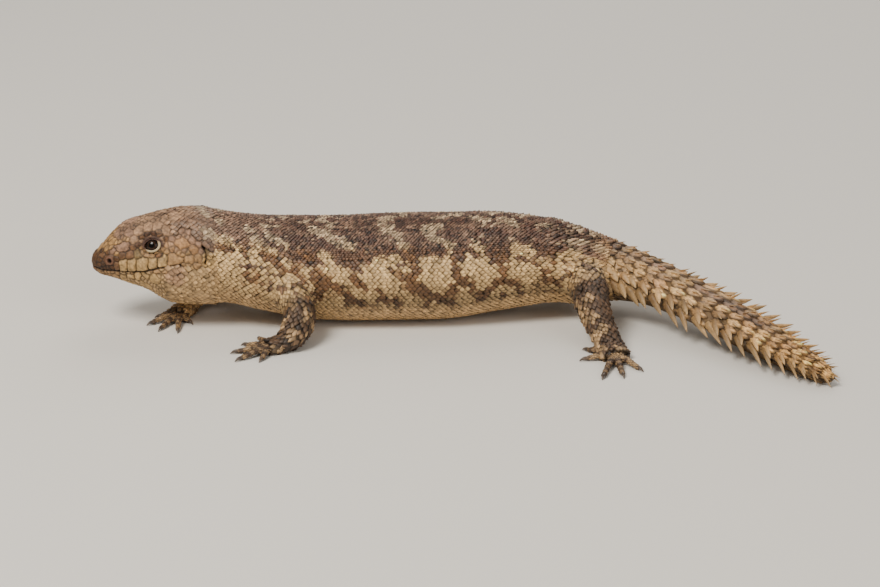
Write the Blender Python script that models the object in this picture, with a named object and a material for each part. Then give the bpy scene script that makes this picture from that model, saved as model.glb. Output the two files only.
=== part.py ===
"""A gidgee skink at life size, resting on level ground.

The head points along -X, the left side faces -Y and the ground is the plane z = 0.
Tables and sizes are in millimetres, and a mesh is scaled to metres where it is made.
"""

import math

import bmesh
import bpy
from mathutils import Vector

MM = 0.001
GAP = 0.3
ORIGIN_SHIFT = Vector((-4.376, 0.549, 0.0))

# Body from the snout to the tail's tip. Each row is a station: x and y of the spine in plan,
# height of the widest level, half width, rise above and depth below that level, and how boxy
# the underside is (2 is an ellipse).
BODY = (
    (-112.7, -7.5, 20.9, 0.8, 0.8, 0.8, 2.0),
    (-112.1, -7.5, 21.0, 3.4, 2.2, 2.8, 2.0),
    (-110.8, -7.4, 21.4, 5.6, 3.1, 4.2, 2.1),
    (-109.0, -7.3, 22.0, 7.0, 4.6, 5.5, 2.2),
    (-106.2, -7.2, 22.8, 8.2, 7.0, 7.0, 2.3),
    (-101.7, -6.9, 23.5, 9.8, 10.1, 9.3, 2.4),
    (-95.1, -6.5, 23.0, 11.8, 12.6, 11.0, 2.6),
    (-88.4, -6.0, 21.5, 13.6, 15.6, 13.3, 2.8),
    (-78.5, -5.2, 19.9, 14.4, 17.8, 13.0, 2.6),
    (-68.6, -4.3, 18.3, 15.0, 17.4, 11.9, 2.4),
    (-58.8, -3.2, 16.4, 17.6, 17.6, 12.5, 2.3),
    (-45.9, -1.4, 15.0, 19.6, 17.8, 14.2, 2.3),
    (-32.7, 0.2, 14.3, 20.6, 17.9, 14.9, 2.25),
    (-13.1, 1.6, 14.2, 21.4, 18.3, 14.9, 2.25),
    (3.3, 2.4, 14.3, 21.0, 18.2, 14.9, 2.25),
    (19.9, 3.0, 15.4, 18.6, 17.0, 13.4, 2.3),
    (36.4, 3.4, 15.6, 15.6, 14.6, 11.6, 2.3),
    (46.1, 3.4, 13.8, 14.2, 13.4, 10.6, 2.3),
    (56.0, 2.4, 12.6, 12.4, 11.0, 9.4, 2.2),
    (65.5, -2.6, 11.6, 11.2, 9.4, 8.4, 2.2),
    (75.0, -11.4, 10.4, 10.8, 8.3, 7.9, 2.2),
    (84.2, -21.4, 9.0, 10.4, 7.4, 7.4, 2.2),
    (94.9, -34.7, 7.4, 9.5, 6.4, 7.7, 2.2),
    (105.3, -48.6, 5.8, 7.6, 5.0, 6.8, 2.2),
    (112.8, -58.0, 4.4, 5.4, 3.7, 5.4, 2.2),
    (117.4, -63.4, 3.2, 3.2, 2.5, 3.8, 2.2),
    (119.0, -65.3, 2.6, 1.2, 1.2, 1.4, 2.0),
)
UPPER_BOXINESS = 2.05

# Where the body is parted, as lengths along the spine from the snout.
HEAD_END = 39.6
NECK_END = 56.0
CHEST_END = 88.0
BELLY_END = 128.0
LOIN_END = 150.0
PELVIS_END = 172.0
TAIL_BASE_END = 203.0
TAIL_MIDDLE_END = 236.0

# Overlapping keeled scales of the back and the spines of the tail, stepped in the surface.
SCALE_PITCH = 4.6
SCALE_RISE = 0.45
SCALE_RISE_AT_HIPS = 0.95
SCALE_OVERLAP = -0.3
SPINE_PITCH = 4.5
SPINE_RISE = 0.9
SPINE_RISE_GROWN = 1.8
SPINE_RISE_AT_SIDES = 1.2
SPINE_OVERLAP = 0.3
SPINE_OVERLAP_GROWN = 1.3
SPINE_SIDE_ANGLE = 97.0
SPINE_SIDE_SPREAD = 16.0
BACK_EDGE = 122.0
BACK_COLUMNS = 29
UNDER_COLUMNS = (1.1, 2.2, 3.0, 3.8, 4.9)
TAIL_EDGE = 112.0
TAIL_COLUMNS = 23
HEAD_COLUMNS = 30
HEAD_STEP = 2.6

# Height of the mouth line along x, from the snout to the corner of the mouth.
MOUTH_LINE = (
    (-118.0, 18.9),
    (-111.0, 19.0),
    (-107.0, 19.2),
    (-103.5, 19.2),
    (-98.1, 20.2),
    (-93.9, 21.0),
    (-90.7, 22.0),
    (-87.5, 22.6),
    (-83.6, 23.1),
    (-82.0, 23.5),
)
JAW_REAR = ((-80.4, 18.5), (-79.2, 12.0), (-78.8, -4.0))

EYE_X = -92.6
EYE_Z = 29.0
EYE_RADIUS = 2.5
EYE_DEPTH = 1.7
LID_LENGTH = 2.25
LID_HEIGHT = 1.95
LID_THICKNESS = 0.5
LID_RISE = 0.35
BROW_SIZE = (3.4, 0.9, 0.9)
BROW_ABOVE_EYE = 2.9
NOSTRIL_X = -106.3
NOSTRIL_Z = 22.4
NOSTRIL_SIZE = (0.75, 0.6, 1.5)
EAR_X = -76.7
EAR_Z = 26.2
EAR_CUP_SIZE = (1.1, 2.7, 2.0)
EAR_DRUM_SIZE = (0.7, 2.2, 1.0)
EAR_DRUM_DEPTH = 0.6
EAR_FLAP_STEP = 1.4
EAR_FLAP_LEAD = 1.6

# Plates of the lips: place along x, length along the lip.
UPPER_LIP = (
    (-105.2, 2.5),
    (-102.1, 2.6),
    (-99.1, 2.7),
    (-95.7, 3.4),
    (-92.0, 3.2),
    (-88.9, 2.6),
    (-85.9, 2.6),
)
UPPER_LIP_LIFT = 2.1
UPPER_LIP_TALL = 3.4
LOWER_LIP_DROP = 1.5
LOWER_LIP_TALL = 2.0
LIP_RISE = 0.4
SHIELD_RISE = 0.3
LOWER_LIP = ((-105.6, 2.4), (-102.8, 2.3), (-100.2, 2.4), (-97.6, 2.4), (-95.0, 2.3), (-92.2, 2.7))

# Shields on top of the head: place along x, angle off the crown, length, width across the head.
CROWN = (
    (-107.4, 0, 3.4, 5.2),
    (-107.4, 44, 3.2, 3.2),
    (-103.6, 21, 3.4, 5.0),
    (-103.0, 58, 3.4, 3.6),
    (-98.2, 0, 7.0, 4.4),
    (-99.8, 34, 3.2, 4.4),
    (-96.2, 33, 3.2, 4.6),
    (-92.6, 31, 3.2, 4.8),
    (-89.0, 31, 3.2, 4.4),
    (-92.4, 10, 3.4, 3.6),
    (-88.0, 0, 4.4, 2.8),
    (-86.4, 20, 5.6, 5.6),
    (-85.8, 44, 4.2, 5.0),
    (-86.6, 64, 4.4, 4.2),
    (-81.0, 18, 3.8, 8.0),
    (-81.0, 46, 4.0, 5.4),
    (-81.4, 68, 4.0, 4.4),
    (-76.6, 20, 3.4, 8.6),
    (-77.0, 46, 3.4, 5.4),
)

# Legs from inside the body to the knuckles: x, y, z, half width and half height.
LEGS = {
    "left_fore": (
        (-52.0, -8.0, 15.0, 6.4, 6.6),
        (-49.0, -17.0, 14.0, 5.6, 5.9),
        (-44.8, -25.5, 10.6, 5.0, 5.3),
        (-45.0, -30.0, 7.2, 4.8, 4.8),
        (-46.8, -33.0, 4.4, 4.6, 3.7),
        (-50.2, -34.8, 2.2, 4.0, 2.6),
        (-54.0, -36.2, 1.7, 4.0, 2.1),
    ),
    "right_fore": (
        (-55.0, 6.0, 15.0, 6.2, 6.4),
        (-60.0, 14.5, 14.0, 5.3, 5.5),
        (-68.5, 19.0, 10.6, 4.8, 4.8),
        (-75.4, 13.4, 6.6, 4.0, 4.0),
        (-80.4, 5.4, 3.9, 3.3, 3.0),
        (-83.6, -1.6, 2.2, 3.6, 2.5),
        (-85.8, -6.2, 1.7, 4.0, 2.1),
    ),
    "left_hind": (
        (46.0, -4.0, 15.0, 7.4, 7.2),
        (47.8, -14.5, 14.6, 6.2, 6.2),
        (48.8, -23.5, 11.4, 5.2, 5.4),
        (50.4, -29.0, 7.4, 4.5, 4.8),
        (52.4, -33.8, 4.4, 4.2, 3.8),
        (54.0, -38.8, 2.3, 4.4, 2.7),
        (55.0, -43.4, 1.7, 4.8, 2.1),
    ),
    "right_hind": (
        (46.0, 9.0, 15.0, 7.4, 7.2),
        (43.0, 19.5, 14.6, 6.3, 6.4),
        (41.4, 28.0, 11.2, 5.6, 5.7),
        (43.8, 34.0, 7.4, 5.0, 5.0),
        (46.0, 39.0, 4.4, 4.4, 3.8),
        (46.6, 44.0, 2.3, 4.4, 2.7),
        (46.2, 48.6, 1.7, 4.8, 2.1),
    ),
}
LEG_GAP = 0.5
ELBOW_SHARE = 0.42
WRIST_SHARE = 0.74
# The length of body that a leg is cut back from, before and behind its root.
LEG_CUT_AHEAD = 26.0
LEG_CUT_BEHIND = 22.0
LEG_CUT_STEPS = 21
LEG_CUT_COLUMNS = 40

# Where each toe's claw meets the ground, innermost toe first: x and y.
TOES = {
    "left_fore": ((-58.6, -24.4), (-63.4, -30.6), (-66.2, -38.0), (-64.2, -45.0), (-56.6, -45.6)),
    "right_fore": ((-80.4, -12.2), (-84.6, -20.0), (-91.0, -18.4), (-95.4, -13.0), (-93.6, -5.6)),
    "left_hind": ((45.0, -34.6), (43.6, -44.2), (49.8, -60.0), (56.6, -59.0), (63.0, -53.4)),
    "right_hind": ((36.4, 45.8), (35.0, 53.6), (38.4, 62.4), (44.6, 66.0), (53.0, 60.4)),
}
TOE_RADIUS = 1.45
CLAW_LENGTH = 3.0
CLAW_RADIUS = 0.75
PALM_LENGTH = 4.0
KNUCKLE_SHARE = 0.6
KNUCKLE_SPREAD = 2.6
KNUCKLE_HEIGHT = 1.35
# Bones of a toe: share of its length, height over the knuckle, share of its radius.
TOE_BONES = ((0.3, 0.5, 1.02), (0.68, 0.15, 0.86), (1.0, -0.4, 0.72))


class Track:
    """Values that change smoothly along a length, read between a few stations."""

    def __init__(self, rows, places):
        self.rows = [tuple(float(v) for v in row) for row in rows]
        self.knots = [0.0]
        for a, b in zip(rows, rows[1:]):
            step = math.dist(a[:places], b[:places])
            self.knots.append(self.knots[-1] + step)
        self.length = self.knots[-1]

    def slope(self, i, k):
        lo, hi = max(i - 1, 0), min(i + 1, len(self.rows) - 1)
        return (self.rows[hi][k] - self.rows[lo][k]) / (self.knots[hi] - self.knots[lo])

    def at(self, s):
        i = 0
        while i < len(self.knots) - 2 and s > self.knots[i + 1]:
            i += 1
        width = self.knots[i + 1] - self.knots[i]
        t = min(max((s - self.knots[i]) / width, 0.0), 1.0)
        a = 2 * t**3 - 3 * t**2 + 1
        b = t**3 - 2 * t**2 + t
        c = 3 * t**2 - 2 * t**3
        d = t**3 - t**2
        now, then = self.rows[i], self.rows[i + 1]
        return [
            a * now[k] + b * width * self.slope(i, k) + c * then[k] + d * width * self.slope(i + 1, k)
            for k in range(len(now))
        ]

    def direction(self, s, places):
        ahead, behind = self.at(s + 0.2), self.at(s - 0.2)
        way = [ahead[k] - behind[k] for k in range(places)]
        return Vector(way + [0.0] * (3 - places)).normalized()


BODY_TRACK = Track(BODY, 2)


def length_at(x):
    """The length along the spine where it passes x. The spine runs towards +X all the way."""
    lo, hi = 0.0, BODY_TRACK.length
    for _ in range(40):
        mid = (lo + hi) / 2
        if BODY_TRACK.at(mid)[0] < x:
            lo = mid
        else:
            hi = mid
    return (lo + hi) / 2


def body_point(s, angle, grow=0.0):
    """A point of the body's surface. angle is 0 on the back and grows towards the left side."""
    x, y, level, width, up, down, boxy = BODY_TRACK.at(s)
    along = BODY_TRACK.direction(s, 2)
    left = Vector((along.y, -along.x, 0.0))
    above = math.cos(angle) > 0
    power = 2 / (UPPER_BOXINESS if above else boxy)
    side = math.copysign(abs(math.sin(angle)) ** power, math.sin(angle)) * (width + grow)
    rise = math.copysign(abs(math.cos(angle)) ** power, math.cos(angle))
    height = level + rise * ((up if above else down) + grow)
    return Vector((x, y, height)) + left * side


def on_ground(point):
    return Vector((point.x, point.y, max(point.z, 0.0)))


def angle_at(s, height):
    """The angle at which the body's left side passes a height."""
    _, _, level, _, up, down, boxy = BODY_TRACK.at(s)
    above = height > level
    power = 2 / (UPPER_BOXINESS if above else boxy)
    share = min(abs(height - level) / (up if above else down), 1.0)
    from_top = math.acos(share ** (1 / power))
    return from_top if above else math.pi - from_top


def outward(s, angle):
    """The direction that points out of the body's surface."""
    along = body_point(s + 0.3, angle) - body_point(s - 0.3, angle)
    round_it = body_point(s, angle + 0.03) - body_point(s, angle - 0.03)
    return round_it.cross(along).normalized()


def new_object(name, points, faces):
    """A mesh object from points in millimetres."""
    mesh = bpy.data.meshes.new(name)
    mesh.from_pydata([(p + ORIGIN_SHIFT) * MM for p in points], [], faces)
    made = bmesh.new()
    made.from_mesh(mesh)
    bmesh.ops.remove_doubles(made, verts=made.verts, dist=1e-7)
    bmesh.ops.recalc_face_normals(made, faces=made.faces)
    made.to_mesh(mesh)
    made.free()
    obj = bpy.data.objects.new(name, mesh)
    bpy.context.scene.collection.objects.link(obj)
    return obj


def loft(name, rings, fan=True):
    """A closed body through rings of equal count, ended by fans or by single faces."""
    count = len(rings[0])
    points = [p for ring in rings for p in ring]
    faces = []
    for r in range(len(rings) - 1):
        for i in range(count):
            j = (i + 1) % count
            faces.append((r * count + i, r * count + j, (r + 1) * count + j, (r + 1) * count + i))
    for ring, start, turn in ((rings[0], 0, -1), (rings[-1], (len(rings) - 1) * count, 1)):
        if not fan:
            faces.append(tuple(range(start, start + count))[::turn])
            continue
        middle = len(points)
        points.append(sum(ring, Vector()) / count)
        for i in range(count):
            j = (i + 1) % count
            faces.append((start + i, start + j, middle)[::turn])
    return new_object(name, points, faces)


def only(obj):
    bpy.ops.object.select_all(action="DESELECT")
    obj.select_set(True)
    bpy.context.view_layer.objects.active = obj


def keep_largest(obj):
    """Keeps the largest closed surface of a mesh and drops scraps and sealed hollows."""
    made = bmesh.new()
    made.from_mesh(obj.data)
    left, islands = set(made.faces), []
    while left:
        island, edge = set(), [left.pop()]
        while edge:
            face = edge.pop()
            island.add(face)
            sides = [e for e in face.edges if len(e.link_faces) == 2]
            near = {f for e in sides for f in e.link_faces} & left
            left -= near
            edge.extend(near)
        islands.append(island)
    islands.sort(key=lambda faces: sum(f.calc_area() for f in faces))
    for island in islands[:-1]:
        bmesh.ops.delete(made, geom=list(island), context="FACES")
    made.to_mesh(obj.data)
    made.free()


def apply_boolean(obj, operation, others, solver="EXACT"):
    """Joins, cuts or intersects with a collection of closed meshes, which are then removed."""
    group = bpy.data.collections.new("pieces")
    for other in others:
        group.objects.link(other)
    only(obj)
    modifier = obj.modifiers.new("boolean", "BOOLEAN")
    modifier.operation = operation
    modifier.operand_type = "COLLECTION"
    modifier.collection = group
    modifier.solver = solver
    bpy.ops.object.modifier_apply(modifier="boolean")
    for other in others:
        bpy.data.objects.remove(other)
    bpy.data.collections.remove(group)
    keep_largest(obj)


def ring_at(s, columns, grow=0.0, ground=True):
    ring = [body_point(s, 2 * math.pi * i / columns, grow) for i in range(columns)]
    return [on_ground(p) for p in ring] if ground else ring


def moved(ring, way):
    return [p + way for p in ring]


def first_ring(s, columns):
    """The front face of a length of the body, a thin gap behind the face in front of it."""
    return moved(ring_at(s, columns), BODY_TRACK.direction(s, 2) * (GAP if s else 0.0))


def smooth_stretch(name, start, end, columns, step):
    """A plain length of the body, with flat ends square to the spine."""
    count = max(2, round((end - start) / step))
    stations = [start + (end - start) * i / count for i in range(1, count + 1)]
    rings = [ring_at(s, columns) for s in stations]
    return loft(name, [first_ring(start, columns)] + rings)


def back_share(angle):
    """1 on the back and upper sides, falling to 0 on the belly."""
    level = (math.cos(angle) + 0.35) / 0.5
    level = min(max(level, 0.0), 1.0)
    return level * level * (3 - 2 * level)


def leg_clearance(point):
    """0 where a leg grows from the body, rising to 1 away from it."""
    nearest = 1e9
    for rows in LEGS.values():
        for row in rows[:2]:
            reach = row[3] + 1.5
            nearest = min(nearest, (point - Vector(row[:3])).length - reach)
    return min(max(nearest / 3.0, 0.0), 1.0)


def columns_of(edge, count):
    """Angles round the body: closely set as far as an edge, and wide apart underneath."""
    upper = [math.radians(-edge + 2 * edge * i / (count - 1)) for i in range(count)]
    under = (180 - edge) / 3
    return upper + [math.radians(edge + under * k) for k in UNDER_COLUMNS]


def scaled_stretch(name, start, end, pitch, angles, height, overlap):
    """A length of the body stepped into rows of keeled scales, each row half a scale out of step.

    A scale's point stands out by height and lies beyond the row's end by overlap.
    """
    rows = max(1, round((end - start) / pitch))
    pitch = (end - start) / rows
    rings = []
    for row in range(rows):
        front = start + row * pitch
        lead = [on_ground(body_point(front, a)) for a in angles]
        rings.append(lead if row or not start else moved(lead, BODY_TRACK.direction(front, 2) * GAP))
        ring = []
        for i, angle in enumerate(angles):
            tall, far = height(front, angle), overlap(front, angle)
            point = (i + row) % 2 == 0 and tall > 0.02
            if row == rows - 1:
                far = min(far, -0.1)
            s = front + pitch + (far if point else -0.25 * pitch)
            ring.append(on_ground(body_point(s, angle, tall if point else 0.35 * min(tall, 1.0))))
        rings.append(ring)
    rings.append([on_ground(body_point(end, a)) for a in angles])
    return loft(name, rings)


def back_height(s, angle):
    """How far the scales of the back stand out: most over the hips, not at all on the belly."""
    toward_hips = min(max((s - NECK_END) / (LOIN_END - NECK_END), 0.0), 1.0)
    most = SCALE_RISE + (SCALE_RISE_AT_HIPS - SCALE_RISE) * toward_hips
    return most * back_share(angle) * leg_clearance(body_point(s + SCALE_PITCH / 2, angle))


def back_overlap(_s, _angle):
    return SCALE_OVERLAP


def spine_growth(s, angle):
    """How far the tail's spines have grown out at a length, and how near they are to its sides."""
    grown = min(max((s - PELVIS_END + 6.0) / 30.0, 0.0), 1.0)
    side = math.exp(-((abs(math.degrees(angle)) - SPINE_SIDE_ANGLE) / SPINE_SIDE_SPREAD) ** 2)
    return grown, side * grown


def spine_height(s, angle):
    """How far the tail's spines stand out: most along its two sides."""
    grown, side = spine_growth(s, angle)
    taper = 1.0 - 0.45 * min(max((s - 225.0) / 40.0, 0.0), 1.0)
    under = 1.0 if abs(math.degrees(angle)) < TAIL_EDGE + 1 else 0.0
    rise = SPINE_RISE + (SPINE_RISE_GROWN - SPINE_RISE) * grown + SPINE_RISE_AT_SIDES * side
    return rise * taper * under


def spine_overlap(s, angle):
    grown, side = spine_growth(s, angle)
    return SPINE_OVERLAP + SPINE_OVERLAP_GROWN * (grown + side)


def scute(s, angle, length, width, height, sides=6, sunk=0.9):
    """A low domed plate that follows the body's surface, with its root sunk in."""
    girth = (BODY_TRACK.at(s)[3] + BODY_TRACK.at(s)[4]) / 2
    rim, crown = [], []
    for i in range(sides):
        turn = 2 * math.pi * (i + 0.5) / sides
        ds, da = math.cos(turn) * length / 1.8, math.sin(turn) * width / 1.9 / girth
        rim.append(body_point(s + ds, angle + da, -sunk))
        crown.append(body_point(s + ds * 0.8, angle + da * 0.8, height))
    return loft("scute", [rim, crown], False)


def ellipsoid(name, centre, axes, sizes, segments=12, rings=8):
    """An ellipsoid on three given directions."""
    circles = []
    for r in range(1, rings):
        polar = math.pi * r / rings
        circle = []
        for i in range(segments):
            turn = 2 * math.pi * i / segments
            spot = (math.sin(polar) * math.cos(turn), math.sin(polar) * math.sin(turn), math.cos(polar))
            circle.append(centre + sum((a * (v * z) for a, v, z in zip(axes, spot, sizes)), Vector()))
        circles.append(circle)
    return loft(name, circles)


def axes_at(s, angle):
    """Along the body, round it and out of it, at a point of its surface."""
    out = outward(s, angle)
    along = (body_point(s + 0.3, angle) - body_point(s - 0.3, angle)).normalized()
    return along, out.cross(along).normalized(), out


def prism(name, outline, low, high):
    """A block with an outline in x and z, from low to high in y."""
    rings = [[Vector((x, y, z)) for x, z in outline] for y in (low, high)]
    count = len(outline)
    points = rings[0] + rings[1]
    faces = [tuple(range(count)), tuple(range(2 * count - 1, count - 1, -1))]
    faces += [(i, i + count, (i + 1) % count + count, (i + 1) % count) for i in range(count)]
    return new_object(name, points, faces)


def jaw_block(name, lift):
    """The space below the mouth line and in front of the angle of the jaw."""
    line = [(x, z + lift) for x, z in MOUTH_LINE]
    rear = [(x + lift, z) for x, z in JAW_REAR]
    return prism(name, line + rear + [(-118.0, -4.0)], -40.0, 30.0)


def lid_ring(side):
    """The rim of the eyelids, an oval roll round the eye."""
    s = length_at(EYE_X)
    along, up, out = axes_at(s, angle_at(s, EYE_Z) * side)
    centre = body_point(s, angle_at(s, EYE_Z) * side) + out * LID_RISE
    points, faces = [], []
    around, across = 14, 5
    for i in range(around):
        turn = 2 * math.pi * i / around
        spoke = along * (math.cos(turn) * LID_LENGTH) + up * (math.sin(turn) * LID_HEIGHT)
        for j in range(across):
            roll = 2 * math.pi * j / across
            width = spoke.normalized() * (math.cos(roll) * LID_THICKNESS)
            points.append(centre + spoke + width + out * (math.sin(roll) * LID_THICKNESS))
    for i in range(around):
        for j in range(across):
            k, m = (i + 1) % around, (j + 1) % across
            faces.append((i * across + j, k * across + j, k * across + m, i * across + m))
    return new_object("lid", points, faces)


def eye_centre(side):
    s = length_at(EYE_X)
    angle = angle_at(s, EYE_Z) * side
    return body_point(s, angle) - outward(s, angle) * EYE_DEPTH, axes_at(s, angle)


def lip_height(x):
    """Height of the mouth line where it passes x."""
    for (x0, z0), (x1, z1) in zip(MOUTH_LINE, MOUTH_LINE[1:]):
        if x <= x1:
            return z0 + (x - x0) / (x1 - x0) * (z1 - z0)
    return MOUTH_LINE[-1][1]


def lip_plates(side, upper):
    """The row of plates along a lip."""
    made = []
    for x, length in UPPER_LIP if upper else LOWER_LIP:
        s = length_at(x)
        lift = UPPER_LIP_LIFT if upper else -LOWER_LIP_DROP
        tall = UPPER_LIP_TALL if upper else LOWER_LIP_TALL
        angle = angle_at(s, lip_height(x) + lift) * side
        made.append(scute(s, angle, length, tall, LIP_RISE))
    return made


def crown_plates():
    """The large shields on top and at the sides of the head."""
    made = []
    for x, degrees, length, width in CROWN:
        for side in (1, -1) if degrees else (1,):
            angle = math.radians(degrees) * side
            made.append(scute(length_at(x), angle, length, width, SHIELD_RISE))
    return made


def brow(side):
    """The ridge that shades the eye."""
    s = length_at(EYE_X + 0.2)
    angle = angle_at(s, EYE_Z + BROW_ABOVE_EYE) * side
    return ellipsoid("brow", body_point(s, angle), axes_at(s, angle), BROW_SIZE, 8, 6)


def ear_flaps(side):
    """Small pointed scales on the front edge of the ear opening."""
    made = []
    for step in (-EAR_FLAP_STEP, 0.0, EAR_FLAP_STEP):
        s = length_at(EAR_X - EAR_FLAP_LEAD)
        made.append(scute(s, angle_at(s, EAR_Z + step) * side, 1.9, 1.3, 0.5, 6))
    return made


def make_head():
    head = smooth_stretch("head", 0.0, HEAD_END, HEAD_COLUMNS, HEAD_STEP)
    extras = crown_plates()
    for side in (1, -1):
        extras += lip_plates(side, True) + ear_flaps(side) + [brow(side), lid_ring(side)]
    apply_boolean(head, "UNION", extras)
    cutters = [jaw_block("below_mouth", GAP)]
    for side in (1, -1):
        centre, axes = eye_centre(side)
        cutters.append(ellipsoid("socket", centre, axes, [EYE_RADIUS + GAP] * 3, 16, 10))
        s = length_at(NOSTRIL_X)
        angle = angle_at(s, NOSTRIL_Z) * side
        cutters.append(ellipsoid("nostril", body_point(s, angle), axes_at(s, angle), NOSTRIL_SIZE, 8, 6))
        s = length_at(EAR_X)
        angle = angle_at(s, EAR_Z) * side
        cutters.append(ellipsoid("ear_cup", body_point(s, angle), axes_at(s, angle), EAR_CUP_SIZE, 10, 8))
    apply_boolean(head, "DIFFERENCE", cutters)
    return head


def make_jaw():
    jaw = smooth_stretch("lower_jaw", 0.0, HEAD_END, HEAD_COLUMNS, HEAD_STEP)
    apply_boolean(jaw, "UNION", lip_plates(1, False) + lip_plates(-1, False))
    apply_boolean(jaw, "INTERSECT", [jaw_block("mouth_space", 0.0)])
    return jaw


def make_eyes():
    for side, name in ((1, "left_eye"), (-1, "right_eye")):
        centre, axes = eye_centre(side)
        ellipsoid(name, centre, axes, [EYE_RADIUS] * 3, 14, 10)


def make_eardrums():
    """The drum at the bottom of each ear opening."""
    for side, name in ((1, "left_ear"), (-1, "right_ear")):
        s = length_at(EAR_X)
        angle = angle_at(s, EAR_Z) * side
        along, up, out = axes_at(s, angle)
        ellipsoid(name, body_point(s, angle) - out * EAR_DRUM_DEPTH, (along, up, out), EAR_DRUM_SIZE, 8, 6)


def limb_ring(track, s, sides, shift=0.0):
    x, y, z, width, height = track.at(s)
    along = track.direction(s, 3)
    across = along.cross(Vector((0, 0, 1))).normalized()
    up = across.cross(along).normalized()
    ring = []
    for i in range(sides):
        turn = 2 * math.pi * i / sides
        spot = Vector((x, y, z)) + across * (math.cos(turn) * width) + up * (math.sin(turn) * height)
        ring.append(on_ground(spot + along * shift))
    return ring


def limb_length(name, track, start, end, sides=12, steps=5):
    """A length of a leg, a thin gap beyond the face before it."""
    stations = [start + (end - start) * i / steps for i in range(1, steps + 1)]
    rings = [limb_ring(track, start, sides, GAP if start else 0.0)]
    return loft(name, rings + [limb_ring(track, s, sides) for s in stations])


def tube(name, path, radii, sides):
    """A tapered tube through a few points."""
    rings = []
    for i, (centre, radius) in enumerate(zip(path, radii)):
        along = (path[min(i + 1, len(path) - 1)] - path[max(i - 1, 0)]).normalized()
        across = along.cross(Vector((0, 0, 1))).normalized()
        up = across.cross(along).normalized()
        ring = []
        for k in range(sides):
            turn = 2 * math.pi * k / sides
            ring.append(on_ground(centre + (across * math.cos(turn) + up * math.sin(turn)) * radius))
        rings.append(ring)
    return loft(name, rings)


def toe(root, tip):
    """One toe with its claw, arched from the knuckle down to the ground."""
    flat = Vector((tip.x - root.x, tip.y - root.y, 0.0))
    reach = flat.length - CLAW_LENGTH
    way = flat.normalized()
    rise = Vector((0, 0, 1))
    bones, radii = [root - way * 2.2], [TOE_RADIUS]
    for share, height, radius in TOE_BONES:
        bones.append(root + way * reach * share + rise * height)
        radii.append(TOE_RADIUS * radius)
    end = bones[-1]
    claw = [
        end - way * 0.8 + rise * 0.25,
        end + way * CLAW_LENGTH * 0.5 + rise * 0.15,
        end + way * CLAW_LENGTH - rise * 0.7,
    ]
    return [tube("toe", bones, radii, 6), tube("claw", claw, (CLAW_RADIUS, CLAW_RADIUS * 0.7, 0.16), 4)]


def clear_of_body(leg, x):
    """Cuts a leg back to a thin gap round the body."""
    first = length_at(x) - LEG_CUT_AHEAD
    step = (LEG_CUT_AHEAD + LEG_CUT_BEHIND) / LEG_CUT_STEPS
    stations = [first + step * i for i in range(LEG_CUT_STEPS + 1)]
    body = loft("body_space", [ring_at(s, LEG_CUT_COLUMNS, LEG_GAP, False) for s in stations])
    apply_boolean(leg, "DIFFERENCE", [body])


def make_leg(name):
    track = Track(LEGS[name], 3)
    elbow, wrist = track.length * ELBOW_SHARE, track.length * WRIST_SHARE
    upper = limb_length(f"{name}_upper_leg", track, 0.0, elbow)
    lower = limb_length(f"{name}_lower_leg", track, elbow, wrist)
    for part in (upper, lower):
        clear_of_body(part, LEGS[name][0][0])
    foot = limb_length(f"{name}_foot", track, wrist, track.length, 12, 4)
    knuckles = Vector(track.at(track.length)[:3])
    palm = Vector(track.at(track.length - PALM_LENGTH)[:3])
    pieces = []
    for x, y in TOES[name]:
        tip = Vector((x, y, 0.0))
        way = (tip - Vector((palm.x, palm.y, 0))).normalized()
        root = palm.lerp(knuckles, KNUCKLE_SHARE) + way * KNUCKLE_SPREAD
        root.z = KNUCKLE_HEIGHT
        pieces += toe(root, tip)
    apply_boolean(foot, "UNION", pieces)


def make_trunk():
    angles = columns_of(BACK_EDGE, BACK_COLUMNS)
    ends = (HEAD_END, NECK_END, CHEST_END, BELLY_END, LOIN_END, PELVIS_END)
    for name, start, end in zip(("neck", "chest", "belly", "loin", "pelvis"), ends, ends[1:]):
        scaled_stretch(name, start, end, SCALE_PITCH, angles, back_height, back_overlap)


def make_tail():
    angles = columns_of(TAIL_EDGE, TAIL_COLUMNS)
    ends = (PELVIS_END, TAIL_BASE_END, TAIL_MIDDLE_END, BODY_TRACK.length)
    for name, start, end in zip(("tail_base", "tail_middle", "tail_tip"), ends, ends[1:]):
        scaled_stretch(name, start, end, SPINE_PITCH, angles, spine_height, spine_overlap)


# Colour and roughness of each kind of surface.
FINISHES = {
    "hide": ((0.36, 0.29, 0.22), 0.62),
    "throat": ((0.55, 0.47, 0.34), 0.6),
    "tail_hide": ((0.50, 0.42, 0.30), 0.6),
    "leg_hide": ((0.25, 0.20, 0.17), 0.65),
    "eye": ((0.05, 0.03, 0.02), 0.08),
    "ear": ((0.12, 0.08, 0.06), 0.8),
}


def finish_of(name):
    if name.endswith(("_eye", "_ear")):
        return name[-3:]
    if "leg" in name or "foot" in name:
        return "leg_hide"
    if name.startswith("tail"):
        return "tail_hide"
    return "throat" if name == "lower_jaw" else "hide"


def paint():
    made = {}
    for kind, (colour, roughness) in FINISHES.items():
        material = bpy.data.materials.new(kind)
        material.use_nodes = True
        shader = material.node_tree.nodes["Principled BSDF"]
        shader.inputs["Base Color"].default_value = (*colour, 1.0)
        shader.inputs["Roughness"].default_value = roughness
        shader.inputs["Metallic"].default_value = 0.0
        made[kind] = material
    for obj in bpy.context.scene.objects:
        obj.data.materials.clear()
        obj.data.materials.append(made[finish_of(obj.name)])


def main():
    for old in list(bpy.data.objects):
        bpy.data.objects.remove(old)
    make_head()
    make_jaw()
    make_eyes()
    make_eardrums()
    make_trunk()
    make_tail()
    for name in LEGS:
        make_leg(name)
    paint()


main()
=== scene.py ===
import bpy
import numpy as np
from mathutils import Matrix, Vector
from mathutils.bvhtree import BVHTree
from mathutils.kdtree import KDTree


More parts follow.
